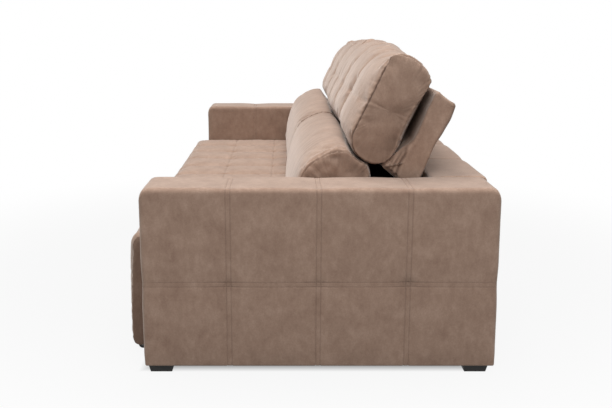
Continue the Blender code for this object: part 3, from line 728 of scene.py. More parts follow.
rearBox = {
    "radius": 0.012,
    "rearRadius": 0.015,
    "wall": 0.006,                # of the rear face
    "lid": 0.0447,                # thickness of the top
    "ends": (0.005, 0.012),       # depth and reach of the rounding beside the arms
    "endLines": (0.08, 0.2, 0.4, 0.7, 1),     # of that reach
    "step": 0.016,
    "seamsAcross": (-0.78, -0.39, 0.0, 0.39, 0.78),
    "seamUp": 0.295,
    "seamDepth": 0.0008,
    "stitchDepth": 0.0016,
    "puff": 0.0035,
    "puffFoot": 0.05,             # how far above the foot the panels are full
    "frontFlat": (0.01, 0.06),    # from the front edge, where nothing swells and where all does
    "waves": ((0.00105, 0.2), (0.00045, 0.06)),   # height and size
}


def makeRearBox():
    # the cover's side view (front edge, top, rear face, inner face) carried across the sofa
    low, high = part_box("rear_cover")
    y0, y1, z1 = low[1], high[1], high[2]
    wall, under = y1 - rearBox["wall"], z1 - rearBox["lid"]
    r, back = rearBox["radius"], rearBox["rearRadius"]
    up = spreadLines(low[2], z1 - back, rearBox["step"], (rearBox["seamUp"],), sewing["beside"])
    loop = np.concatenate([
        [(y0, under)], arc((y0 + r, z1 - r), (r, r), 180, 90, 5),
        straight((y0 + r, z1), (y1 - back, z1), 12),
        arc((y1 - back, z1 - back), (back, back), 90, 0, 5),
        np.column_stack([np.full(len(up) - 1, y1), up[-2::-1]]),
        [(wall, low[2])], straight((wall, low[2]), (wall, under), 12), [(wall, under)],
        straight((wall, under), (y0, under), 8)])
    climb = np.arange(3, 20 + len(up))    # from the front edge's round to just above the rear's foot
    across = spreadLines(low[0], high[0], rearBox["step"], rearBox["seamsAcross"], sewing["beside"])
    depth, reach = rearBox["ends"]
    early = reach * np.array(rearBox["endLines"])
    across = np.unique(np.round(np.concatenate([across, low[0] + early, high[0] - early]), 6))
    rings = np.stack(np.broadcast_arrays(across[:, None], *loop.T[:, None]), axis=2)
    points = rings.reshape(-1, 3).copy()
    x, y, z = points.T

    def seen(rearward, up):
        # top, rear face and the round between them
        onRound = (rearward > y1 - back - 0.001) & (up > z1 - back - 0.001)
        return (up > z1 - 0.01) | (rearward > y1 - 0.001) | onRound

    # quarter ellipse down to the arm at each end, on the outer faces only
    intoEnd = np.clip(1 - np.minimum(across - low[0], high[0] - across) / reach, 0, 1)
    sunk = depth * (1 - np.sqrt(1 - 0.98 * intoEnd ** 2))
    rings[..., 1:] -= sunk[:, None, None] * (outward(loop) * seen(*loop.T)[:, None])
    piece = skin("rear_box", rings)
    shown = seen(y, z)
    acrossOff = nearest(x, rearBox["seamsAcross"])
    upOff = np.where(y > y1 - 0.001, np.abs(z - rearBox["seamUp"]), 1)
    groove, rows, shut = seamShape(acrossOff, upOff, sewing["levelShare"])
    height = rearBox["puff"] * (1 - shut) * ease(low[2], low[2] + rearBox["puffFoot"], z)
    height -= rearBox["seamDepth"] * groove + rearBox["stitchDepth"] * rows
    height += clouds(points, rearBox["waves"], (31, 32))
    pushOut(piece, height * shown * ease(*(y0 + np.asarray(rearBox["frontFlat"])), y))
    # painted: the seams' dark, partly their own and partly shade in the grooves
    paint(piece, "sewn", np.clip(seamDark(groove, rows) * shown, 0, darkestPainted))
    dress(piece, "base", ["rear_cover"])
    grid, facing = (read(piece.data).reshape(rings.shape) for read in (pointsOf, normalsOf))
    paths = [(grid[row, climb], facing[row, climb])
             for row in seamRows(across, rearBox["seamsAcross"])]
    for off in (-sewing["apart"], sewing["apart"]):
        column = columnAt(loop, y1, rearBox["seamUp"] + off)
        paths.append((grid[:, column], facing[:, column]))
    count = stitchRows("rear_stitching", paths, "base")
    print("rear box:", len(points), "points,", count, "stitches")


makeRearBox()

seat = {
    "columns": 5,
    "rows": (-0.347, -0.132, 0.083, 0.298),
    "frontSeam": 0.222,
    "frontDepth": 0.083,         # of the front pad
    "roll": (0.028, 0.037),      # depth and height of the rounded front edge
    "foot": (0.020, 0.030),      # the same at the front's foot
    "rearRadius": 0.02,
    "frontInset": 0.004,
    "frontSwell": 0.005,         # how far the front stands out below its rounded edge
    "frontShare": 0.4,           # of the crown, on the front
    "rise": 0.010,               # crown of a cell above its seams
    "swell": 0.005,              # what the pressure adds of it
    "valley": (0.045, 1.3),      # width and power of the dip at a seam
    "rowShare": 0.45,            # how much of that dip the rows have between tufts
    "tuft": (0.007, 0.022),      # depth and width
    "step": 0.013,
    "endRadius": 0.006,
    "endSpare": 0.003,           # from the rounded ends to the first line
    "ends": (-0.003, 0.002),     # how far inside the solid's ends the cushion's lie
    "endFade": 0.03,             # how far from the ends the cells are full
    "corner": (0.036, 0.5, 0.7), # reach of the outer front corner's round, its shares back and down
    "wrinkles": ((0.0012, 0.07), (0.0006, 0.025)),    # height and size
    "crease": (0.001, 0.0032, 0.004),     # depth, width on the columns and on the rows
    "rowCrease": 0.25,
    # painted: crease along the seams, partly their own line and partly shade; painted shade at the
    # tufts and on the outer end
    "creaseDark": 0.7,
    "tuftShade": (0.5, 0.012),
    "endShade": 0.3,
    "held": (0.3, 1),            # how firmly rows and columns are held while it swells
    "puff": {"pressure": 4.0, "spare": 0.012, "bending": 0.4, "frames": 20, "cap": 0.010},
}


def seatLoop(low, high, padLow):
    # side view: up the rear, along the top, over the front roll, down the front and back below
    yRear, zTop, zFoot = high[1], high[2] - seat["rise"], low[2]
    (depth, drop), (footDepth, foot), rear = seat["roll"], seat["foot"], seat["rearRadius"]
    face, inner = low[1] + seat["frontInset"], low[1] + seat["frontDepth"]
    step = seat["step"]
    topLines = spreadLines(face + depth, yRear - rear, step, seat["rows"])[1:-1][::-1]
    frontLines = spreadLines(zFoot + foot, zTop - drop, step, (seat["frontSeam"],))[1:-1][::-1]
    loop = np.concatenate([
        straight((yRear, padLow), (yRear, zTop - rear), 7),
        arc((yRear - rear, zTop - rear), (rear, rear), 0, 90, 3),
        np.column_stack([topLines, np.full(len(topLines), zTop)]),
        arc((face + depth, zTop - drop), (depth, drop), 90, 180, 6),
        np.column_stack([np.full(len(frontLines), face), frontLines]),
        arc((face + footDepth, zFoot + foot), (footDepth, foot), 180, 270, 4),
        straight((face + footDepth, zFoot), (inner, zFoot), 5),
        [(inner, zFoot)], straight((inner, zFoot), (inner, padLow), 12),
        straight((inner, padLow), (yRear, padLow), 36), [(yRear, padLow)]])
    below = ease(zTop - drop, zTop - drop - 0.1, loop[:, 1])
    loop[:, 0] -= seat["frontSwell"] * below * ease(face + 0.03, face + 0.01, loop[:, 0])
    return loop


def seatRings(low, xIn, xOut, loop, facing, columns):
    # the loop carried across between rounded ends, the outer front corner drawn back and down
    radius, spare = seat["endRadius"], seat["endSpare"]
    turns = np.radians(np.linspace(0, 90, 5))
    across = spreadLines(xIn + radius + spare, xOut - radius - spare, seat["step"], columns)
    inset = [loop - facing * radius * (1 - np.sin(a)) for a in turns]
    edge = [radius * (1 - np.cos(a)) for a in turns]
    stack = [(xIn + seat["ends"][0] + e, ring) for e, ring in zip(edge, inset)]
    stack += [(x, loop) for x in across]
    stack += [(xOut - seat["ends"][1] - e, ring) for e, ring in zip(edge[::-1], inset[::-1])]
    rings = np.array([np.column_stack([np.full(len(loop), x), ring]) for x, ring in stack])
    reach, back, down = seat["corner"]
    intoCorner = np.clip(1 - (xOut - rings[:, :1, 0]) / reach, 0, 1)
    drop = reach * (1 - np.sqrt(1 - 0.96 * intoCorner ** 2))
    drop = drop * ease(low[1] + 0.10, low[1] + 0.03, loop[:, 0])
    rings[..., 1] += back * drop * ease(0.1, 0.36, loop[:, 1])
    rings[..., 2] -= down * drop * ease(0.25, 0.36, loop[:, 1])
    return rings


def makeSeat(side, sign):
    pad, front = f"{side}_seat_pad", f"{side}_front_pad"
    (padLow, padHigh), (frontLow, frontHigh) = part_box(pad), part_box(front)
    low, high = np.minimum(padLow, frontLow), np.maximum(padHigh, frontHigh)
    xIn, xOut = sorted((abs(low[0]), abs(high[0])))
    columns = np.linspace(xIn, xOut, seat["columns"] + 1)[1:-1]
    loop = seatLoop(low, high, padLow[2])
    facing = outward(loop)
    rings = seatRings(low, xIn, xOut, loop, facing, columns)

    # each cell rises from its seams and the crossings are drawn down, along the loop's own direction
    far = lengthAlong(loop)
    top = (loop[:, 1] > high[2] - seat["rise"] - 0.003) & (loop[:, 0] < high[1] - seat["rearRadius"])
    shown = top | (loop[:, 0] < low[1] + 0.06) & (loop[:, 1] > low[2] + 0.004)
    onFront = loop[:, 0] < low[1] + 0.02
    seamColumns = [np.abs(np.where(top, loop[:, 0] - y, nowhere)).argmin() for y in seat["rows"]]
    seamColumns.append(np.abs(np.where(onFront, loop[:, 1] - seat["frontSeam"], nowhere)).argmin())
    rowOff = nearest(far, far[seamColumns])
    columnOff = nearest(rings[:, 0, 0], columns)
    (valley, power), (tuft, tuftWidth) = seat["valley"], seat["tuft"]
    acrossRow = 1 - seat["rowShare"] * np.exp(-(rowOff / valley) ** power)
    pillow = np.outer(1 - np.exp(-(columnOff / valley) ** power), acrossRow) * shown
    crossing = bell(np.hypot(columnOff[:, None], rowOff[None, :]), tuftWidth) * shown
    fromEnd = np.minimum(rings[:, 0, 0] - xIn, xOut - rings[:, 0, 0])
    endShare = ease(0, seat["endFade"], fromEnd)[:, None]
    start = seat["rise"] - seat["swell"]
    share = ease(low[1] + 0.02, low[1] + 0.10, loop[:, 0])
    share = seat["frontShare"] + (1 - seat["frontShare"]) * share
    lift = (start * pillow - tuft * crossing) * endShare * share
    rings[..., 1:] += lift[..., None] * facing[None]
    held = np.where(shown, 0.0, 1.0)[None] * np.ones((len(rings), 1))
    held[:, seamColumns], held[columnOff < 1e-4] = seat["held"]
    held[:4], held[-4:] = 1, 1
    rings = finer(puffUp(f"{side}_seat_swell", rings, held, seat["puff"]))
    rings[..., 0] *= sign
    piece = skin(f"{side}_seat_cushion", rings)

    # fine wrinkles, and a dark crease along the seams, partly the seams' own line and partly painted
    # shade, with painted shade at the tufts and on the outer end beside the arm
    points = rings.reshape(-1, 3)
    x, y, z = points.T
    isFront = (y < low[1] + 0.03) & (z < high[2] - 0.05)
    rowOff = np.where(isFront, np.abs(z - seat["frontSeam"]), nearest(y, seat["rows"]))
    columnOff = nearest(x * sign, columns)
    shown = isFront | (z > high[2] - 0.04)
    depth, columnWidth, rowWidth = seat["crease"]
    onRows = seat["rowCrease"] * bell(rowOff, rowWidth)
    creased = np.maximum(bell(columnOff, columnWidth), onRows) * shown
    tuftShade, tuftSpot = seat["tuftShade"]
    crossing = bell(np.hypot(columnOff, rowOff), tuftSpot) * shown
    wrinkles = clouds(points, seat["wrinkles"], (41 + sign, 43 + sign))
    pushOut(piece, wrinkles - depth * creased)
    movePoints(piece, keepApart(pointsOf(piece.data), sign))
    # painted shade on the outer end, in the gap beside the arm
    shadeAtEnd = seat["endShade"] * ease(0.012, 0.004, xOut - x * sign)
    dark = seat["creaseDark"] * creased + tuftShade * crossing + shadeAtEnd
    paint(piece, "sewn", np.clip(dark, 0, darkestPainted))
    dress(piece, f"{side}_seat", [pad, front])
    print(side, "seat:", len(points), "points")


onBothSides(makeSeat)

meeting = {                             # where lumbar roll and upper cushion press on each other
    "steep": ((0.866, 0.5), 0.467),     # two planes in y and z, each by the direction square to it
    "flat": ((0.5, 0.866), 0.6515),     # and how far along that direction it lies at the ends
    "hump": 0.012,                      # how much further in the middle
    "give": 0.011,                      # how much further the right upper cushion is pushed back
    "reach": (0.005, 1.147),
    "corner": 0.008,
    "shoulder": 0.004,
}


def pastMeeting(points, sign):
    # how far points are past the pressed face, which humps between the ends, and the way square to
    # it; the face follows the nearer plane and rounds their corner
    start, length = meeting["reach"][0], np.ptp(meeting["reach"])
    share = np.clip((np.abs(points[..., 0]) - start) / length, 0, 1)
    hump = meeting["hump"] * np.sin(math.pi * share)
    hump = hump + meeting["give"] * share ** 2 * (points[..., 0] < 0)
    (steepWay, steepAt), (flatWay, flatAt) = meeting["steep"], meeting["flat"]
    steep = points[..., 1:] @ np.asarray(steepWay) - steepAt - hump
    flat = points[..., 1:] @ np.asarray(flatWay) - flatAt - hump
    toSteep = 1 / (1 + np.exp(np.clip((steep - flat) / meeting["corner"], -50, 50)))[..., None]
    way = toSteep * steepWay + (1 - toSteep) * flatWay
    way /= np.linalg.norm(way, axis=-1, keepdims=True)
    return sign * (toSteep[..., 0] * steep + (1 - toSteep[..., 0]) * flat), way


def pressed(points, sign):
    # moves points square to the pressed face to stay on one side of it, with a round shoulder
    past, way = pastMeeting(points, sign)
    over = (past + np.sqrt(past ** 2 + meeting["shoulder"] ** 2)) / 2
    made = points.copy()
    made[..., 1:] -= sign * over[..., None] * way
    return made


sewnEnd = {
    "shares": (0.02, 0.06, 0.12, 0.2, 0.3, 0.41, 0.52, 0.63, 0.74, 0.84, 0.93),   # of the way in
    "bulge": 0.006,
    "gather": 0.0042,           # height of the puckers beside the seam
    "gatherReach": 0.03,
    "gatherCell": 0.05,         # how fast they grow and fade along the seam
    "lengths": (0.034, 0.023, 0.016, 0.012),      # of the waves that they are made of
    "panelEdge": 0.02,          # how far from the seam the panel is on its own
}


def crossLines(xIn, xOut, count, power):
    # lines across a cushion, closer near its ends: as -1 to 1, and their places
    even = np.linspace(-1, 1, count)
    across = np.sign(even) * (1 - (1 - np.abs(even)) ** power)
    return across, xIn + (xOut - xIn) * (across + 1) / 2


def endRings(ring, x, inward, centre):
    # a flat sewn end panel: its outline drawn towards the centre while it bulges a little outwards
    return [np.column_stack([
        np.full(len(ring), x - inward * sewnEnd["bulge"] * (1 - (1 - share) ** 2) ** 0.5),
        ring + (np.asarray(centre) - ring) * share]) for share in sewnEnd["shares"]]


def cushionRings(x, section, ends, centre, press):
    # sections set at their places, pressed on the other cushion and shut by a panel at each end,
    # with the numbers of the rings that are sewn to the panels
    places = np.broadcast_to(x[:, None, None], (*section.shape[:2], 1))
    body = pressed(np.concatenate([places, section], axis=2), press)
    near = endRings(body[0, :, 1:], ends[0], 1, centre)[::-1]
    far = endRings(body[-1, :, 1:], ends[1], -1, centre)
    return np.concatenate([near, body, far]), len(near), len(near) + len(body) - 1


def swelled(name, rings, first, last, held, puff, press):
    # the cushion after its Cloth run on a finer grid, with the distance along the outer seam, the
    # distances from the inner and the outer seam, and where the end panels are
    rings = pressed(finer(puffUp(name, rings, held, puff)), press)
    first, last = 2 * first, 2 * last
    around = lengthAlong(np.concatenate([rings[last], rings[last, :1]]))[:-1]
    innerOff, outerOff = (np.linalg.norm(rings - rings[end], axis=2) for end in (first, last))
    panel = np.zeros(innerOff.shape)
    panel[:first], panel[last + 1:] = 1, 1
    panel *= ease(0, sewnEnd["panelEdge"], np.minimum(innerOff, outerOff))
    return rings, around, innerOff, outerOff, panel


def puckers(rings, around, edgeOff, least, seed):
    # short gathers along a sewn edge: waves of uneven length and height that die away from it
    rng = np.random.default_rng(seed + 1)
    waves = np.zeros_like(around)
    for length in sewnEnd["lengths"]:
        waves += np.sin(2 * math.pi * around / length + rng.uniform(0, 6.28)) * rng.uniform(0.6, 1)
    uneven = least + (1 - least) * cloud(rings, sewnEnd["gatherCell"], seed)
    return (waves / 2)[None] * np.exp(-edgeOff / sewnEnd["gatherReach"]) * uneven


lumbar = {
    "outline": ((0.240, 0.014), (0.256, 0.085), (0.241, 0.155), (0.214, 0.208), (0.169, 0.243),
                (0.116, 0.262), (0.067, 0.254), (0.022, 0.212), (0.004, 0.110),
                (0.012, 0.012)),        # forward of the board, above the seat
    "board": 0.216,
    "seatTop": 0.415,
    "clear": 0.0005,                    # from both
    "centre": (0.120, 0.130),
    "crown": {"left": (0.17, 0.28), "right": (0.12, 0.30)},   # added depth and height mid-way
    "endRound": {"left": 3, "right": 10},       # power of the round at the outer end
    "innerDip": (0.7, 0.25),    # share of these lost towards the other roll, and in the crease there
    "innerPowers": (2, 60),
    "squeeze": 0.02,            # share that is left of what lies past the board or the seat
    "rows": (72, 1.35),         # lines across, and how much closer they are near the ends
    "around": 84,
    "swell": 0.012,             # share of the size that the pressure will add
    "heldEdge": 0.02,           # from seat and board, where points are held
    "crumple": ((0.0085, 0.045), (0.0045, 0.018)),            # height and size, on the end panels
    "creases": ((0.0022, 0.09, (0.5, 1, 1)),
                (0.0011, 0.03, (1.5, 0.3, 0.3))),             # the same between them, with stretch
    "seam": (0.002, 0.0025),    # depth and width
    "foot": 0.03,               # above the seat, over which puckers and creases fade in
    # painted: the seam line, partly its own dark and partly shade; painted shade in the puckers, in
    # the crease at the other roll, under the upper cushion and on the end panels
    "seamDark": 0.3,
    "puckerShade": 0.25,
    "creaseTop": (0.57, 0.67),  # heights between which the painted shade in the crease at the other roll gets darker
    "creaseDark": (0.3, 0.6),
    "creaseWidth": (0.008, 0.014),
    "pressShade": (0.5, -0.006, -0.001),     # painted shade under the upper cushion: from and to its face
    "panelShade": (0.26, 0.14, 60),      # painted shade on the end panels: all over, towards the rear, and down in the crumples
    "panelRear": (0.06, 0.2),
    "puff": {"pressure": 3.0, "spare": 0.02, "bending": 0.3, "frames": 20, "cap": 0.005},
}


def makeLumbar(side, sign):
    node = f"{side}_lumbar_cushion"
    low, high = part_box(node)
    xIn, xOut = sorted((abs(low[0]), abs(high[0])))
    rear, bottom = lumbar["board"], lumbar["seatTop"]
    outline = closedCurve(lumbar["outline"], lumbar["around"])
    across, x = crossLines(xIn, xOut, *lumbar["rows"])
    # sinks towards the other roll, rounded off at the outer end
    (dip, crease), (dipPower, creasePower) = lumbar["innerDip"], lumbar["innerPowers"]
    far = np.abs(across)
    rise = np.where(across < 0, 1 - dip * far ** dipPower - crease * far ** creasePower,
                    (1 - far ** lumbar["endRound"][side]) ** 0.5)
    small = lumbar["swell"] * (1 - across ** 6)    # the pressure adds it
    size = 1 + np.asarray(lumbar["crown"][side]) * rise[:, None, None]
    size = size * (1 - np.reshape(small, (-1, 1, 1)))
    grown = np.asarray(lumbar["centre"]) + (outline - lumbar["centre"])[None] * size
    # flat against the board and the seat, but with no two points in one place
    depth, above = np.moveaxis(
        np.maximum(grown, 0) + lumbar["squeeze"] * np.minimum(grown, 0), -1, 0)
    section = np.stack([rear - lumbar["clear"] - depth, bottom + lumbar["clear"] + above], axis=-1)
    centre = (rear - lumbar["centre"][0], bottom + lumbar["centre"][1])
    rings, first, last = cushionRings(x, section, (xIn, xOut), centre, 1)

    held = np.zeros(rings.shape[:2])
    held[[first, last]] = 1
    onSeat = rings[first, :, 2] < bottom + lumbar["heldEdge"]
    onBoard = rings[first, :, 1] > rear - lumbar["heldEdge"]
    held[first:last + 1, onSeat | onBoard] = 1
    rings, around, innerOff, outerOff, panel = swelled(
        f"{side}_lumbar_swell", rings, first, last, held, lumbar["puff"], 1)
    edgeOff = np.minimum(innerOff, outerOff)
    # puckers run in from the sewn ends on both sides of the seam, and the end panel crumples
    rings[..., 0] *= sign
    piece = skin(f"{side}_lumbar_roll", rings)
    pucker = puckers(rings, around, edgeOff, 0.55, 60 + sign)
    crumple = clouds(rings, lumbar["crumple"], (65 + sign, 66 + sign))
    creases = sum(tall * cloud(rings * stretch, cell, seed + sign)
                  for seed, (tall, cell, stretch) in zip((63, 64), lumbar["creases"]))
    seamDepth, seamWidth = lumbar["seam"]
    height = sewnEnd["gather"] * pucker - seamDepth * bell(edgeOff, seamWidth)
    height += creases * (1 - panel) + crumple * panel
    pushOut(piece, height * ease(bottom, bottom + lumbar["foot"], rings[..., 2]))
    movePoints(piece, keepApart(pressed(pointsOf(piece.data), 1), sign))
    # dark along the seams, partly their own and partly painted shade; painted shade in the crease at
    # the other roll, where the upper cushion presses, in the puckers and over the end panels
    deep = ease(*lumbar["creaseTop"], rings[..., 2])
    dark = lumbar["seamDark"] * bell(outerOff, seamWidth)
    dark += lumbar["puckerShade"] * np.maximum(-pucker, 0)
    least, more = lumbar["creaseDark"]
    narrow, wider = lumbar["creaseWidth"]
    dark += (least + more * deep) * bell(innerOff, narrow + wider * deep)
    pressShade, start, stop = lumbar["pressShade"]
    dark += pressShade * ease(start, stop, pastMeeting(rings, 1)[0])
    allOver, rearward, inCrumples = lumbar["panelShade"]
    shade = allOver + rearward * ease(*lumbar["panelRear"], rings[..., 1])
    shade += inCrumples * np.maximum(-crumple, 0)
    paint(piece, "sewn", np.clip(dark + shade * panel, 0, darkestPainted))
    dress(piece, "base", [node])
    print(side, "lumbar roll:", edgeOff.size, "points")


onBothSides(makeLumbar)

backFrame = {                       # the tilted frame of the reclining backs
    "hinge": np.array((0.339, 0.597)),
    "tilt": math.radians(21.5),
    "slabHalf": 0.0415,             # half the thickness of a slab
}
upAlong = np.array((math.sin(backFrame["tilt"]), math.cos(backFrame["tilt"])))
forward = np.array((-math.cos(backFrame["tilt"]), math.sin(backFrame["tilt"])))


def inBack(section):
    # (forward of the slab's middle, up from the hinge) to (y, z)
    return backFrame["hinge"] + section[..., :1] * forward + section[..., 1:] * upAlong


upper = {
    "sewn": ((0.184, 0.046), (0.184, 0.080), (0.181, 0.126), (0.177, 0.175), (0.172, 0.247),
             (0.168, 0.300), (0.162, 0.336), (0.142, 0.348), (0.099, 0.351), (0.059, 0.340),
             (0.030, 0.324), (0.014, 0.302), (0.017, 0.267), (0.028, 0.219), (0.036, 0.166),
             (0.038, 0.115), (0.036, 0.058), (0.048, 0.016), (0.077, -0.006), (0.114, -0.012),
             (0.146, -0.002), (0.169, 0.016)),    # end panel: forward of the slab, up from the hinge
    "full": ((0.222, 0.050), (0.223, 0.085), (0.221, 0.128), (0.217, 0.175), (0.208, 0.240),
             (0.190, 0.290), (0.160, 0.328), (0.128, 0.349), (0.090, 0.358), (0.055, 0.350),
             (0.026, 0.334), (0.010, 0.305), (0.004, 0.267), (0.002, 0.219), (0.002, 0.166),
             (0.002, 0.115), (0.006, 0.058), (0.040, 0.010), (0.080, -0.010), (0.124, -0.014),
             (0.165, -0.004), (0.197, 0.018)),    # the same between the ends
    "columns": 3,
    "roll": (0.10, 0.20),         # how far from the inner and the outer end the outline is full
    "topRise": (0.023, 0.35, 0.95),     # of the top, and where from the sofa's middle it fades
    "slack": {"left": (0.0, 0.0), "right": (0.010, 0.016)},     # retreat all along, more at the end
    "slackReach": 0.45,
    "seam": (0.013, 0.070, 1.5),  # depth, spread and power of its bell
    "crossSeam": (0.003, 0.04),
    "tuft": (0.014, 0.038),
    "spare": 0.004,               # what the pressure will add
    "tuftFolds": (0.0022, 0.075, 0.022),    # height, reach and the flat place round the tuft
    "spokes": (7, 12, 0.6),       # number round a tuft, number of finer ones and their share
    "face": (0.10, 0.14),         # forward of the slab, where the front face begins
    "rows": (84, 1.3),            # lines across, and how much closer they are near the ends
    "around": 88,
    "clear": 0.0008,              # from the slab
    "held": {"row": 0.3, "seam": 0.6},      # how firmly the sewn lines are held while it swells
    "endSeam": (0.004, 0.003),    # depth and width
    "waves": ((0.0024, 0.002, 0.09), (0.0010, 0.0, 0.035)),     # height, more on the ends, size
    "creases": (0.003, 0.05, (1, 0.5, 1.6)),      # across the end panels: height, size and stretch
    "seamDark": (0.3, 0.6, 0.0045),         # seam line, partly its own dark and partly painted shade: all round, more in front, and width there
    "frontSeam": ((0.11, 0.15), (0.345, 0.325)),  # forward and up, where it begins and is full
    # painted shade in the puckers' dips and at the tufts
    "puckerShade": 0.18,
    "tuftShade": (0.35, 0.012),
    "panelShade": (0.08, 0.16, 0.20, 0.25),  # painted shade on the end panels: all over, at the foot, low at the rear, in the creases
    "panelFoot": (0.16, 0.0),
    "panelRear": ((0.10, 0.03), (0.28, 0.18)),
    "gapShade": 0.7,                         # painted shade down in the gap to the slab
    "gap": ((0.035, 0.015), (0.31, 0.27)),
    "puff": {"pressure": 3.0, "spare": 0.015, "bending": 0.3, "frames": 20, "cap": 0.008},
}


def upperSections(side, xIn, xOut, seams, x, outline, full, facing, height):
    # the outline fills along a parabola from each end, and the face dips at seams and tufts
    inner, outer = upper["roll"]
    rise = 1 - np.clip(1 - (x - xIn) / inner, 0, 1) ** 2 - np.clip(1 - (xOut - x) / outer, 0, 1) ** 2
    fromRow = outline[:, 1] - (outline[:, 1].min() + outline[:, 1].max()) / 2
    columnOff = nearest(x, seams)[:, None]
    depth, spread, power = upper["seam"]
    valley = depth * np.exp(-(columnOff / spread) ** power) * (1 - 0.5 * height ** 2)
    crossDepth, crossWidth = upper["crossSeam"]
    dent = np.maximum(valley, crossDepth * bell(fromRow, crossWidth))
    tuftDepth, tuftWidth = upper["tuft"]
    dent += tuftDepth * bell(np.hypot(columnOff, fromRow), tuftWidth)
    dent += upper["spare"]
    shape = outline + rise[:, None, None] * (full - outline)
    allAlong, atEnd = upper["slack"][side]
    retreat = allAlong + atEnd * ease(xOut - upper["slackReach"], xOut, x)
    out = shape[..., 0] - (rise[:, None] * dent + retreat[:, None]) * np.maximum(facing, 0)
    out = backFrame["slabHalf"] + np.maximum(out, upper["clear"])
    top, start, stop = upper["topRise"]
    lift = top * (1 - ease(start, stop, x)) - 0.5 * retreat
    up = shape[..., 1] + lift[:, None] * np.maximum(height, 0) ** 2
    return inBack(np.stack([out, up], axis=-1))


def makeUpper(side, sign):
    node = f"{side}_upper_cushion"
    low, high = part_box(node)
    xIn, xOut = sorted((abs(low[0]), abs(high[0])))
    seams = np.linspace(xIn, xOut, upper["columns"] + 1)[1:-1]
    both = closedCurve(np.hstack([upper["sewn"], upper["full"]]), upper["around"])
    outline, full = both[:, :2], both[:, 2:]
    middle = (outline.min(axis=0) + outline.max(axis=0)) / 2
    facing, tall = ((outline - middle) / ((outline.max(axis=0) - outline.min(axis=0)) / 2)).T
    x = crossLines(xIn, xOut, *upper["rows"])[1]
    section = upperSections(side, xIn, xOut, seams, x, outline, full, facing, tall)
    centre = inBack(np.array([backFrame["slabHalf"] + middle[0], middle[1]]))
    rings, first, last = cushionRings(x, section, (xIn, xOut), centre, -1)

    held = np.zeros(rings.shape[:2])
    held[[first, last]] = 1
    tuftRow = np.abs(np.where(facing > 0.5, outline[:, 1] - middle[1], nowhere)).argmin()
    held[first:last + 1, tuftRow] = upper["held"]["row"]
    for seam in seams:
        row = first + np.abs(x - seam).argmin()
        held[row, facing > 0] = upper["held"]["seam"]
        held[row, tuftRow - 1:tuftRow + 2] = 1
    held[first:last + 1, facing < -0.4] = 1
    rings, around, innerOff, outerOff, panel = swelled(
        f"{side}_upper_swell", rings, first, last, held, upper["puff"], -1)
    edgeOff = np.minimum(innerOff, outerOff)

    # folds run out from each tuft like spokes, strongest a little way off
    forth = (rings[..., 1:] - backFrame["hinge"]) @ forward - backFrame["slabHalf"]
    fromTuft = (rings[..., 1:] - backFrame["hinge"]) @ upAlong - middle[1]
    up = fromTuft + middle[1]
    onFace = ease(*upper["face"], forth)
    folds, tufts = np.zeros(edgeOff.shape), np.zeros(edgeOff.shape)
    foldHeight, foldReach, foldStart = upper["tuftFolds"]
    many, fineMany, fineShare = upper["spokes"]
    tuftShade, tuftSpot = upper["tuftShade"]
    for number, seam in enumerate(seams):
        sideways = rings[..., 0] - seam
        far = np.hypot(sideways, fromTuft)
        spokes = np.sin(many * np.arctan2(fromTuft, sideways) + 1.3 * number)
        spokes += fineShare * np.sin(fineMany * np.arctan2(sideways, fromTuft))
        folds += bell(far, foldReach) * (1 - bell(far, foldStart)) * spokes * onFace
        tufts += bell(far, tuftSpot) * onFace
    rings[..., 0] *= sign
    piece = skin(f"{side}_upper_back_cushion", rings)
    pucker = puckers(rings, around, edgeOff, 0.5, 70 + sign)
    seamDepth, seamWidth = upper["endSeam"]
    seamLine = bell(edgeOff, seamWidth)
    height = sewnEnd["gather"] * pucker - seamDepth * seamLine + foldHeight * folds
    for seed, (wave, onPanel, cell) in zip((73, 74), upper["waves"]):
        height += (wave + onPanel * panel) * cloud(rings, cell, seed + sign)
    creaseHeight, cell, stretch = upper["creases"]
    creases = cloud(rings * stretch, cell, 75 + sign)
    height += creaseHeight * panel * creases
    pushOut(piece, height)
    movePoints(piece, keepApart(pressed(pointsOf(piece.data), -1), sign))

    # dark along the seams, partly their own and partly painted shade, most along the front seam;
    # painted shade in the puckers, at the tufts, in the gap to the slab, and towards foot and rear
    # of the end panels
    (frontFrom, frontFull), (seamEnd, seamFull) = upper["frontSeam"]
    inFront = ease(frontFrom, frontFull, forth) * ease(seamEnd, seamFull, up)
    allRound, more, width = upper["seamDark"]
    dark = allRound * seamLine + more * inFront * bell(edgeOff, width)
    dark += upper["puckerShade"] * np.maximum(-pucker, 0) + tuftShade * tufts
    allOver, atFoot, atRear, inCreases = upper["panelShade"]
    (rearFrom, rearFull), (rearTop, rearLow) = upper["panelRear"]
    shade = allOver + atFoot * ease(*upper["panelFoot"], up)
    shade += atRear * ease(rearFrom, rearFull, forth) * ease(rearTop, rearLow, up)
    shade += inCreases * np.maximum(-creases, 0)
    (gapFrom, gapFull), (gapTop, gapLow) = upper["gap"]
    shadeInGap = upper["gapShade"] * ease(gapFrom, gapFull, forth) * ease(gapTop, gapLow, up)
    paint(piece, "sewn", np.clip(dark + shade * panel + shadeInGap * (panel == 0), 0, darkestPainted))
    dress(piece, f"{side}_back", [node])
    print(side, "upper cushion:", edgeOff.size, "points")


onBothSides(makeUpper)

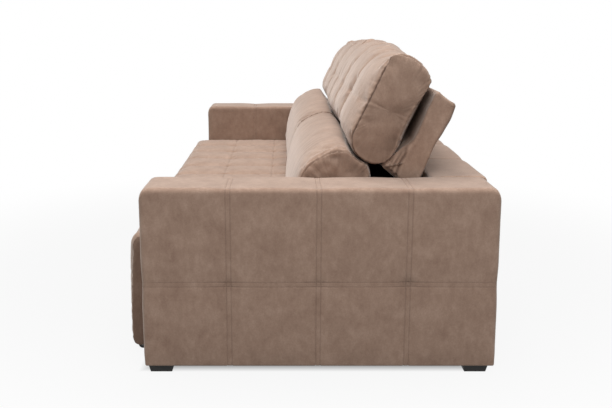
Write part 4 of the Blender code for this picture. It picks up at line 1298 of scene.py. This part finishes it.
slab = {
    "length": 0.287,
    "foot": ((-0.036, -0.022), (0.0, -0.0405), (0.036, -0.022), (0.066, -0.010), (0.090, 0.001),
             (0.072, 0.030), (0.052, 0.078)),     # round the foot and out to the loose cover's tip
    "footTop": 0.02,            # on the rear, where that begins
    "flareTop": 0.125,          # where the loose cover starts to stand off, up from the hinge
    "innerEnd": 0.002,          # from the sofa's middle
    "rearRoom": 0.003,          # drawn in low on the rear, where it comes down on the rear box
    "lowRear": ((0.17, 0.11), (0.0, -0.025)),     # up and forward, where that begins and is full
    "cornerRadius": (0.018, 0.013),     # of the top's front and rear edge
    "rearTop": 0.010,           # how far the rear leans out at its top
    "rearDrop": 0.016,          # how much lower the top is at its rear edge
    "endRadius": 0.012,
    "inset": 0.97,              # share of that radius by which the end faces lie inside
    "endShares": (1, 0.91, 0.82, 0.73, 0.64, 0.55, 0.46, 0.37, 0.28, 0.19, 0.1, 0.04),
    "endCore": (0.004, 0.05, 0.24, 0.10),     # middle line: forward, low, high, share of the outline
    "endSpare": 0.004,          # from the rounded ends to the first line
    "step": 0.016,
    "puff": 0.004,
    "endThin": (0.014, 0.16),   # how much thinner the front is at the ends, and how far in
    "folds": (0.009, 0.02),     # depth, and how far they wander
    "foldWaves": ((0.6, 0.043, 0.0), (0.4, 0.027, 1.7)),      # share, length and start
    "pleats": ((0.043, 0.0, 0.0050, 0.0042), (0.060, -0.10, 0.0040, 0.0045),
               (0.074, -0.05, 0.0025, 0.0045)),   # on the end: start forward, slope, depth and width
    "pleatTop": (0.115, 0.06),
    "waves": ((0.0016, 0.1), (0.0008, 0.03)),     # height and size
    "pleatShade": 120,           # painted shade in the pleats, to the metre of depth
    # painted shade in the gap to the cushion and along the rear edge of the ends
    "gapShade": 0.7,
    "rearShade": 0.35,
}


def slabLoop():
    # side view in the back's own frame: down the rear, round the foot, out along the flap and up
    (r, rear), top, half = slab["cornerRadius"], slab["length"], backFrame["slabHalf"]
    low, flare = slab["footTop"], slab["flareTop"]
    foot = closedCurve(((-half, low), *slab["foot"], (half, flare), (half, 0.2), (0, 0.25),
                        (-half, 0.2), (-half, 0.1)), 260)
    keep = (foot[:, 1] < flare - 0.004) & ~((foot[:, 0] < -half + 0.002) & (foot[:, 1] > low))
    start = np.flatnonzero(keep & ~np.roll(keep, 1))[0]
    foot = np.roll(foot, -start, axis=0)[:keep.sum()][::3]
    loop = np.concatenate([
        straight((-half, top - rear), (-half, low), 20), foot,
        straight((half, flare), (half, top - r), 14),
        arc((half - r, top - r), (r, r), 0, 90, 6),
        straight((half - r, top), (-half + rear, top), 6),
        arc((-half + rear, top - rear), (rear, rear), 90, 180, 6)])
    loop[:, 0] -= slab["rearTop"] * ease(0.13, 0.27, loop[:, 1]) * ease(0.02, -half, loop[:, 0])
    loop[:, 1] -= slab["rearDrop"] * ease(half, -half, loop[:, 0]) * ease(0.1, top, loop[:, 1])
    return loop


def slabRings(xIn, xOut):
    # the loop carried across between rounded ends, thinner towards them, in the back's own frame
    loop = slabLoop()
    facing = outward(loop)
    r, inset = slab["endRadius"], slab["inset"]
    turns = np.radians(np.linspace(0, 90, 6))
    coreForward, coreLow, coreTop, coreShare = slab["endCore"]

    def end(x, inward):
        # the end face, from a narrow core up its middle outwards, then the rounded edge
        rim = loop - facing * inset * r
        middle = np.column_stack([np.full(len(rim), coreForward),
                                  np.clip(rim[:, 1], coreLow, coreTop)])
        core = middle + coreShare * (rim - middle)
        flat = [(x, rim + (core - rim) * share) for share in slab["endShares"]]
        return flat + [(x + inward * r * (1 - np.cos(a)),
                        loop - facing * inset * r * (1 - np.sin(a))) for a in turns]

    start, stop = xIn + r + slab["endSpare"], xOut - r - slab["endSpare"]
    across = np.linspace(start, stop, round((xOut - xIn) / slab["step"]))
    stack = end(xIn, 1) + [(x, loop) for x in across] + end(xOut, -1)[::-1]
    flat = np.array([np.column_stack([np.full(len(loop), x), ring]) for x, ring in stack])
    fromEnd = np.minimum(flat[..., 0] - xIn, xOut - flat[..., 0])
    thin, reach = slab["endThin"]
    flat[..., 1] -= (thin * ease(reach, 0, fromEnd) * ease(0.04, 0.12, flat[..., 2])
                     * ease(0, backFrame["slabHalf"], flat[..., 1]))
    return flat


def makeSlab(side, sign):
    node = f"{side}_back_cover"
    low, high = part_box(node)
    xIn, xOut, half = slab["innerEnd"], max(abs(low[0]), abs(high[0])), backFrame["slabHalf"]
    flat = slabRings(xIn, xOut)
    rings = finer(np.concatenate([flat[..., :1], inBack(flat[..., 1:])], axis=2))
    rings[..., 0] *= sign
    piece = skin(f"{side}_back_slab", rings)
    points = rings.reshape(-1, 3)
    x, forth, up = finer(flat).reshape(-1, 3).T
    # gathers stand out most at the loose lower edge and die away up the slab's face
    loose = ease(slab["flareTop"] + 0.03, 0.0, up) * ease(0.0, 0.05, forth)
    seed = 81 + sign
    depth, drift = slab["folds"]
    wander = x + drift * cloud(points, 0.12, seed)
    folds = sum(np.sin(2 * math.pi * wander / length + start) * share
                for share, length, start in slab["foldWaves"])
    fromEnd = np.minimum(x - xIn, xOut - x)
    onEnd = ease(0.016, 0.004, fromEnd)
    height = depth * loose * folds * (1 - onEnd)
    pleats = np.zeros(len(points))
    for start, slope, deep, width in slab["pleats"]:
        off = forth - start - slope * up - 0.003 * cloud(points, 0.03, seed + 1)
        pleats += deep * (bell(off, width) * ease(*slab["pleatTop"], up) * onEnd)
    height -= pleats
    toEdge = np.minimum(up, slab["length"] - up)
    height += slab["puff"] * ease(0.02, 0.08, toEdge) * ease(0.018, 0.036, np.abs(forth))
    height += clouds(points, slab["waves"], (seed + 2, seed + 3))
    (lowFrom, lowFull), (rearFrom, rearFull) = slab["lowRear"]
    lowRear = ease(lowFrom, lowFull, up) * ease(rearFrom, rearFull, forth)
    pushOut(piece, height * (1 - lowRear) - slab["rearRoom"] * lowRear)
    movePoints(piece, keepApart(pointsOf(piece.data), sign))
    # painted shade in the pleats, in the gap to the cushion and along the rear edge of the ends
    shade = slab["pleatShade"] * pleats
    inGap = ease(half - 0.02, half - 0.005, forth) * ease(0.06, 0.12, up)
    shade += slab["gapShade"] * inGap * ease(0.002, 0.010, fromEnd)
    shade += slab["rearShade"] * bell(fromEnd - 0.005, 0.004) * ease(-half + 0.012, -half, forth)
    paint(piece, "sewn", np.clip(shade, 0, darkestPainted))
    dress(piece, f"{side}_back", [node])
    print(side, "back slab:", len(points), "points")


onBothSides(makeSlab)

solids = {
    "finish": (("foot", "black_plastic"), ("roller", "black_plastic"), ("channel", "zinc_steel"),
               ("runner", "zinc_steel"), ("hinge", "zinc_steel"), ("ledge", "black_lining"),
               ("lower_back_board", "black_lining"), ("seat_outer_side", "suede"),
               ("seat_inner_side", "suede")),     # by a word in the name
    "otherFinish": "frame_board",
    "bevel": {"black_plastic": 0.0025, "frame_board": 0.002, "suede": 0.005},
}


def finishSolids():
    # the solids that stay in view keep their shape, take a finish and have their edges eased
    for name, solid in frame["nodes"].items():
        kinds = [kind for word, kind in solids["finish"] if word in name]
        finish = kinds[0] if kinds else solids["otherFinish"]
        solid.data.materials.clear()
        solid.data.materials.append(finishes[finish])
        if finish in solids["bevel"] and "roller" not in name:
            solid.modifiers.new("joined", "WELD").merge_threshold = 1e-5
            edge = solid.modifiers.new("eased", "BEVEL")
            edge.width, edge.segments, edge.limit_method = solids["bevel"][finish], 2, "ANGLE"


finishSolids()
print("solids finished")

camera = {
    "place": (4.0565, -0.069, 1.105),
    "pitchDown": 13.717,     # degrees below the horizon, looking along -X
    "lens": 52.94,
    "shift": (0.0338, 0.0523),
}
studio = {
    "world": 0.36,
    "floor": 7.0,            # half its width
    "floorTone": 0.26,
    "floorShadow": 0.10,     # share of the shadow that shows on the white floor
    "floorFade": (1.0, 2.6), # from the sofa's middle, where the floor turns plain white
    "footprint": (1.36, 0.54),
    "footprintEdge": 0.08,
    "lamps": (
        {"name": "key", "place": (-0.5, -1.5, 7.0), "aim": (0, 0, 0.4),
         "size": (4.4, 3.4), "watts": 288},
        {"name": "top", "place": (-0.9, 1.2, 7.2), "aim": (0, 0.1, 0.4),
         "size": (4.4, 3.4), "watts": 178},
        {"name": "fill", "place": (3.4, 0.2, 3.2), "aim": (1.3, 0.1, 0.6),
         "size": (2.4, 2.4), "watts": 64},
    ),
}


def aimed(place, aim):
    # turns a lamp's -Z from its place to the aim
    way = np.asarray(aim, float) - place
    flat = math.hypot(way[0], way[1])
    return (math.atan2(flat, -way[2]), 0, math.atan2(way[1], way[0]) - math.pi / 2)


def putObject(name, data, place, turn):
    made = bpy.data.objects.new(name, data)
    made.location, made.rotation_euler = place, turn
    bpy.context.scene.collection.objects.link(made)
    return made


def makeCamera():
    scene = bpy.context.scene
    data = bpy.data.cameras.new("camera")
    data.lens, data.sensor_width = camera["lens"], 36
    data.shift_x, data.shift_y = camera["shift"]
    turn = (math.radians(90 - camera["pitchDown"]), 0, math.radians(90))
    scene.camera = putObject("camera", data, camera["place"], turn)
    scene.view_settings.view_transform = "Standard"


def direct(tree):
    # 1 for what the camera sees itself, in gloss or through glass
    path = addNode(tree, "ShaderNodeLightPath").outputs
    mirrored = arith(tree, "MAXIMUM", path["Is Glossy Ray"], path["Is Transmission Ray"])
    return arith(tree, "MAXIMUM", path["Is Camera Ray"], mirrored)


def makeLights():
    for lamp in studio["lamps"]:
        light = bpy.data.lights.new(lamp["name"], "AREA")
        light.shape = "RECTANGLE"
        light.size, light.size_y = lamp["size"]
        light.energy = lamp["watts"]
        putObject(lamp["name"], light, lamp["place"], aimed(lamp["place"], lamp["aim"]))
    world = bpy.data.worlds.new("studio")
    bpy.context.scene.world = world
    world.use_nodes = True
    tree = world.node_tree
    strength = addNode(tree, "ShaderNodeMapRange", {
        "Value": direct(tree), "To Min": studio["world"], "To Max": 1.0})
    tree.links.new(strength.outputs["Result"], tree.nodes["Background"].inputs["Strength"])
    tree.nodes["Background"].inputs["Color"].default_value = (1, 1, 1, 1)


def makeFloor():
    # white where it is seen, with a share of the shadow near the sofa, and grey under it
    half, tone = studio["floor"], studio["floorTone"]
    corners = half * np.array([(-1, -1, 0), (1, -1, 0), (1, 1, 0), (-1, 1, 0)], float)
    floor = putMesh("floor", corners, [np.array([[0, 1, 2, 3]])])
    material, tree, matt, place = newMaterial(
        "paleFloor", Base_Color=(tone, tone, tone, 1), Roughness=0.9)
    white = addNode(tree, "ShaderNodeEmission", {"Color": (1, 1, 1, 1), "Strength": 1.0})
    off = addNode(tree, "ShaderNodeVectorMath", {0: place}, operation="LENGTH").outputs["Value"]
    fade = addNode(tree, "ShaderNodeMapRange", {
        "Value": off, "From Min": studio["floorFade"][0], "From Max": studio["floorFade"][1],
        "To Min": 1 - studio["floorShadow"], "To Max": 1.0}, interpolation_type="SMOOTHSTEP")
    # how far outside the sofa's own footprint
    apart = addNode(tree, "ShaderNodeSeparateXYZ", {0: place}).outputs
    beside = []
    for axis, reach in zip("XY", studio["footprint"]):
        far = addNode(tree, "ShaderNodeMath", {0: apart[axis]}, operation="ABSOLUTE").outputs[0]
        beside.append(arith(tree, "SUBTRACT", far, reach))
    outside = addNode(tree, "ShaderNodeMapRange", {
        "Value": arith(tree, "MAXIMUM", *beside),
        "From Min": -studio["footprintEdge"], "From Max": 0.0})
    share = arith(tree, "MULTIPLY", direct(tree), fade.outputs["Result"])
    share = arith(tree, "MULTIPLY", share, outside.outputs["Result"])
    both = addNode(tree, "ShaderNodeMixShader", {
        0: share, 1: matt.outputs["BSDF"], 2: white.outputs["Emission"]})
    tree.links.new(both.outputs["Shader"], tree.nodes["Material Output"].inputs["Surface"])
    floor.data.materials.append(material)


makeCamera()
makeLights()
makeFloor()
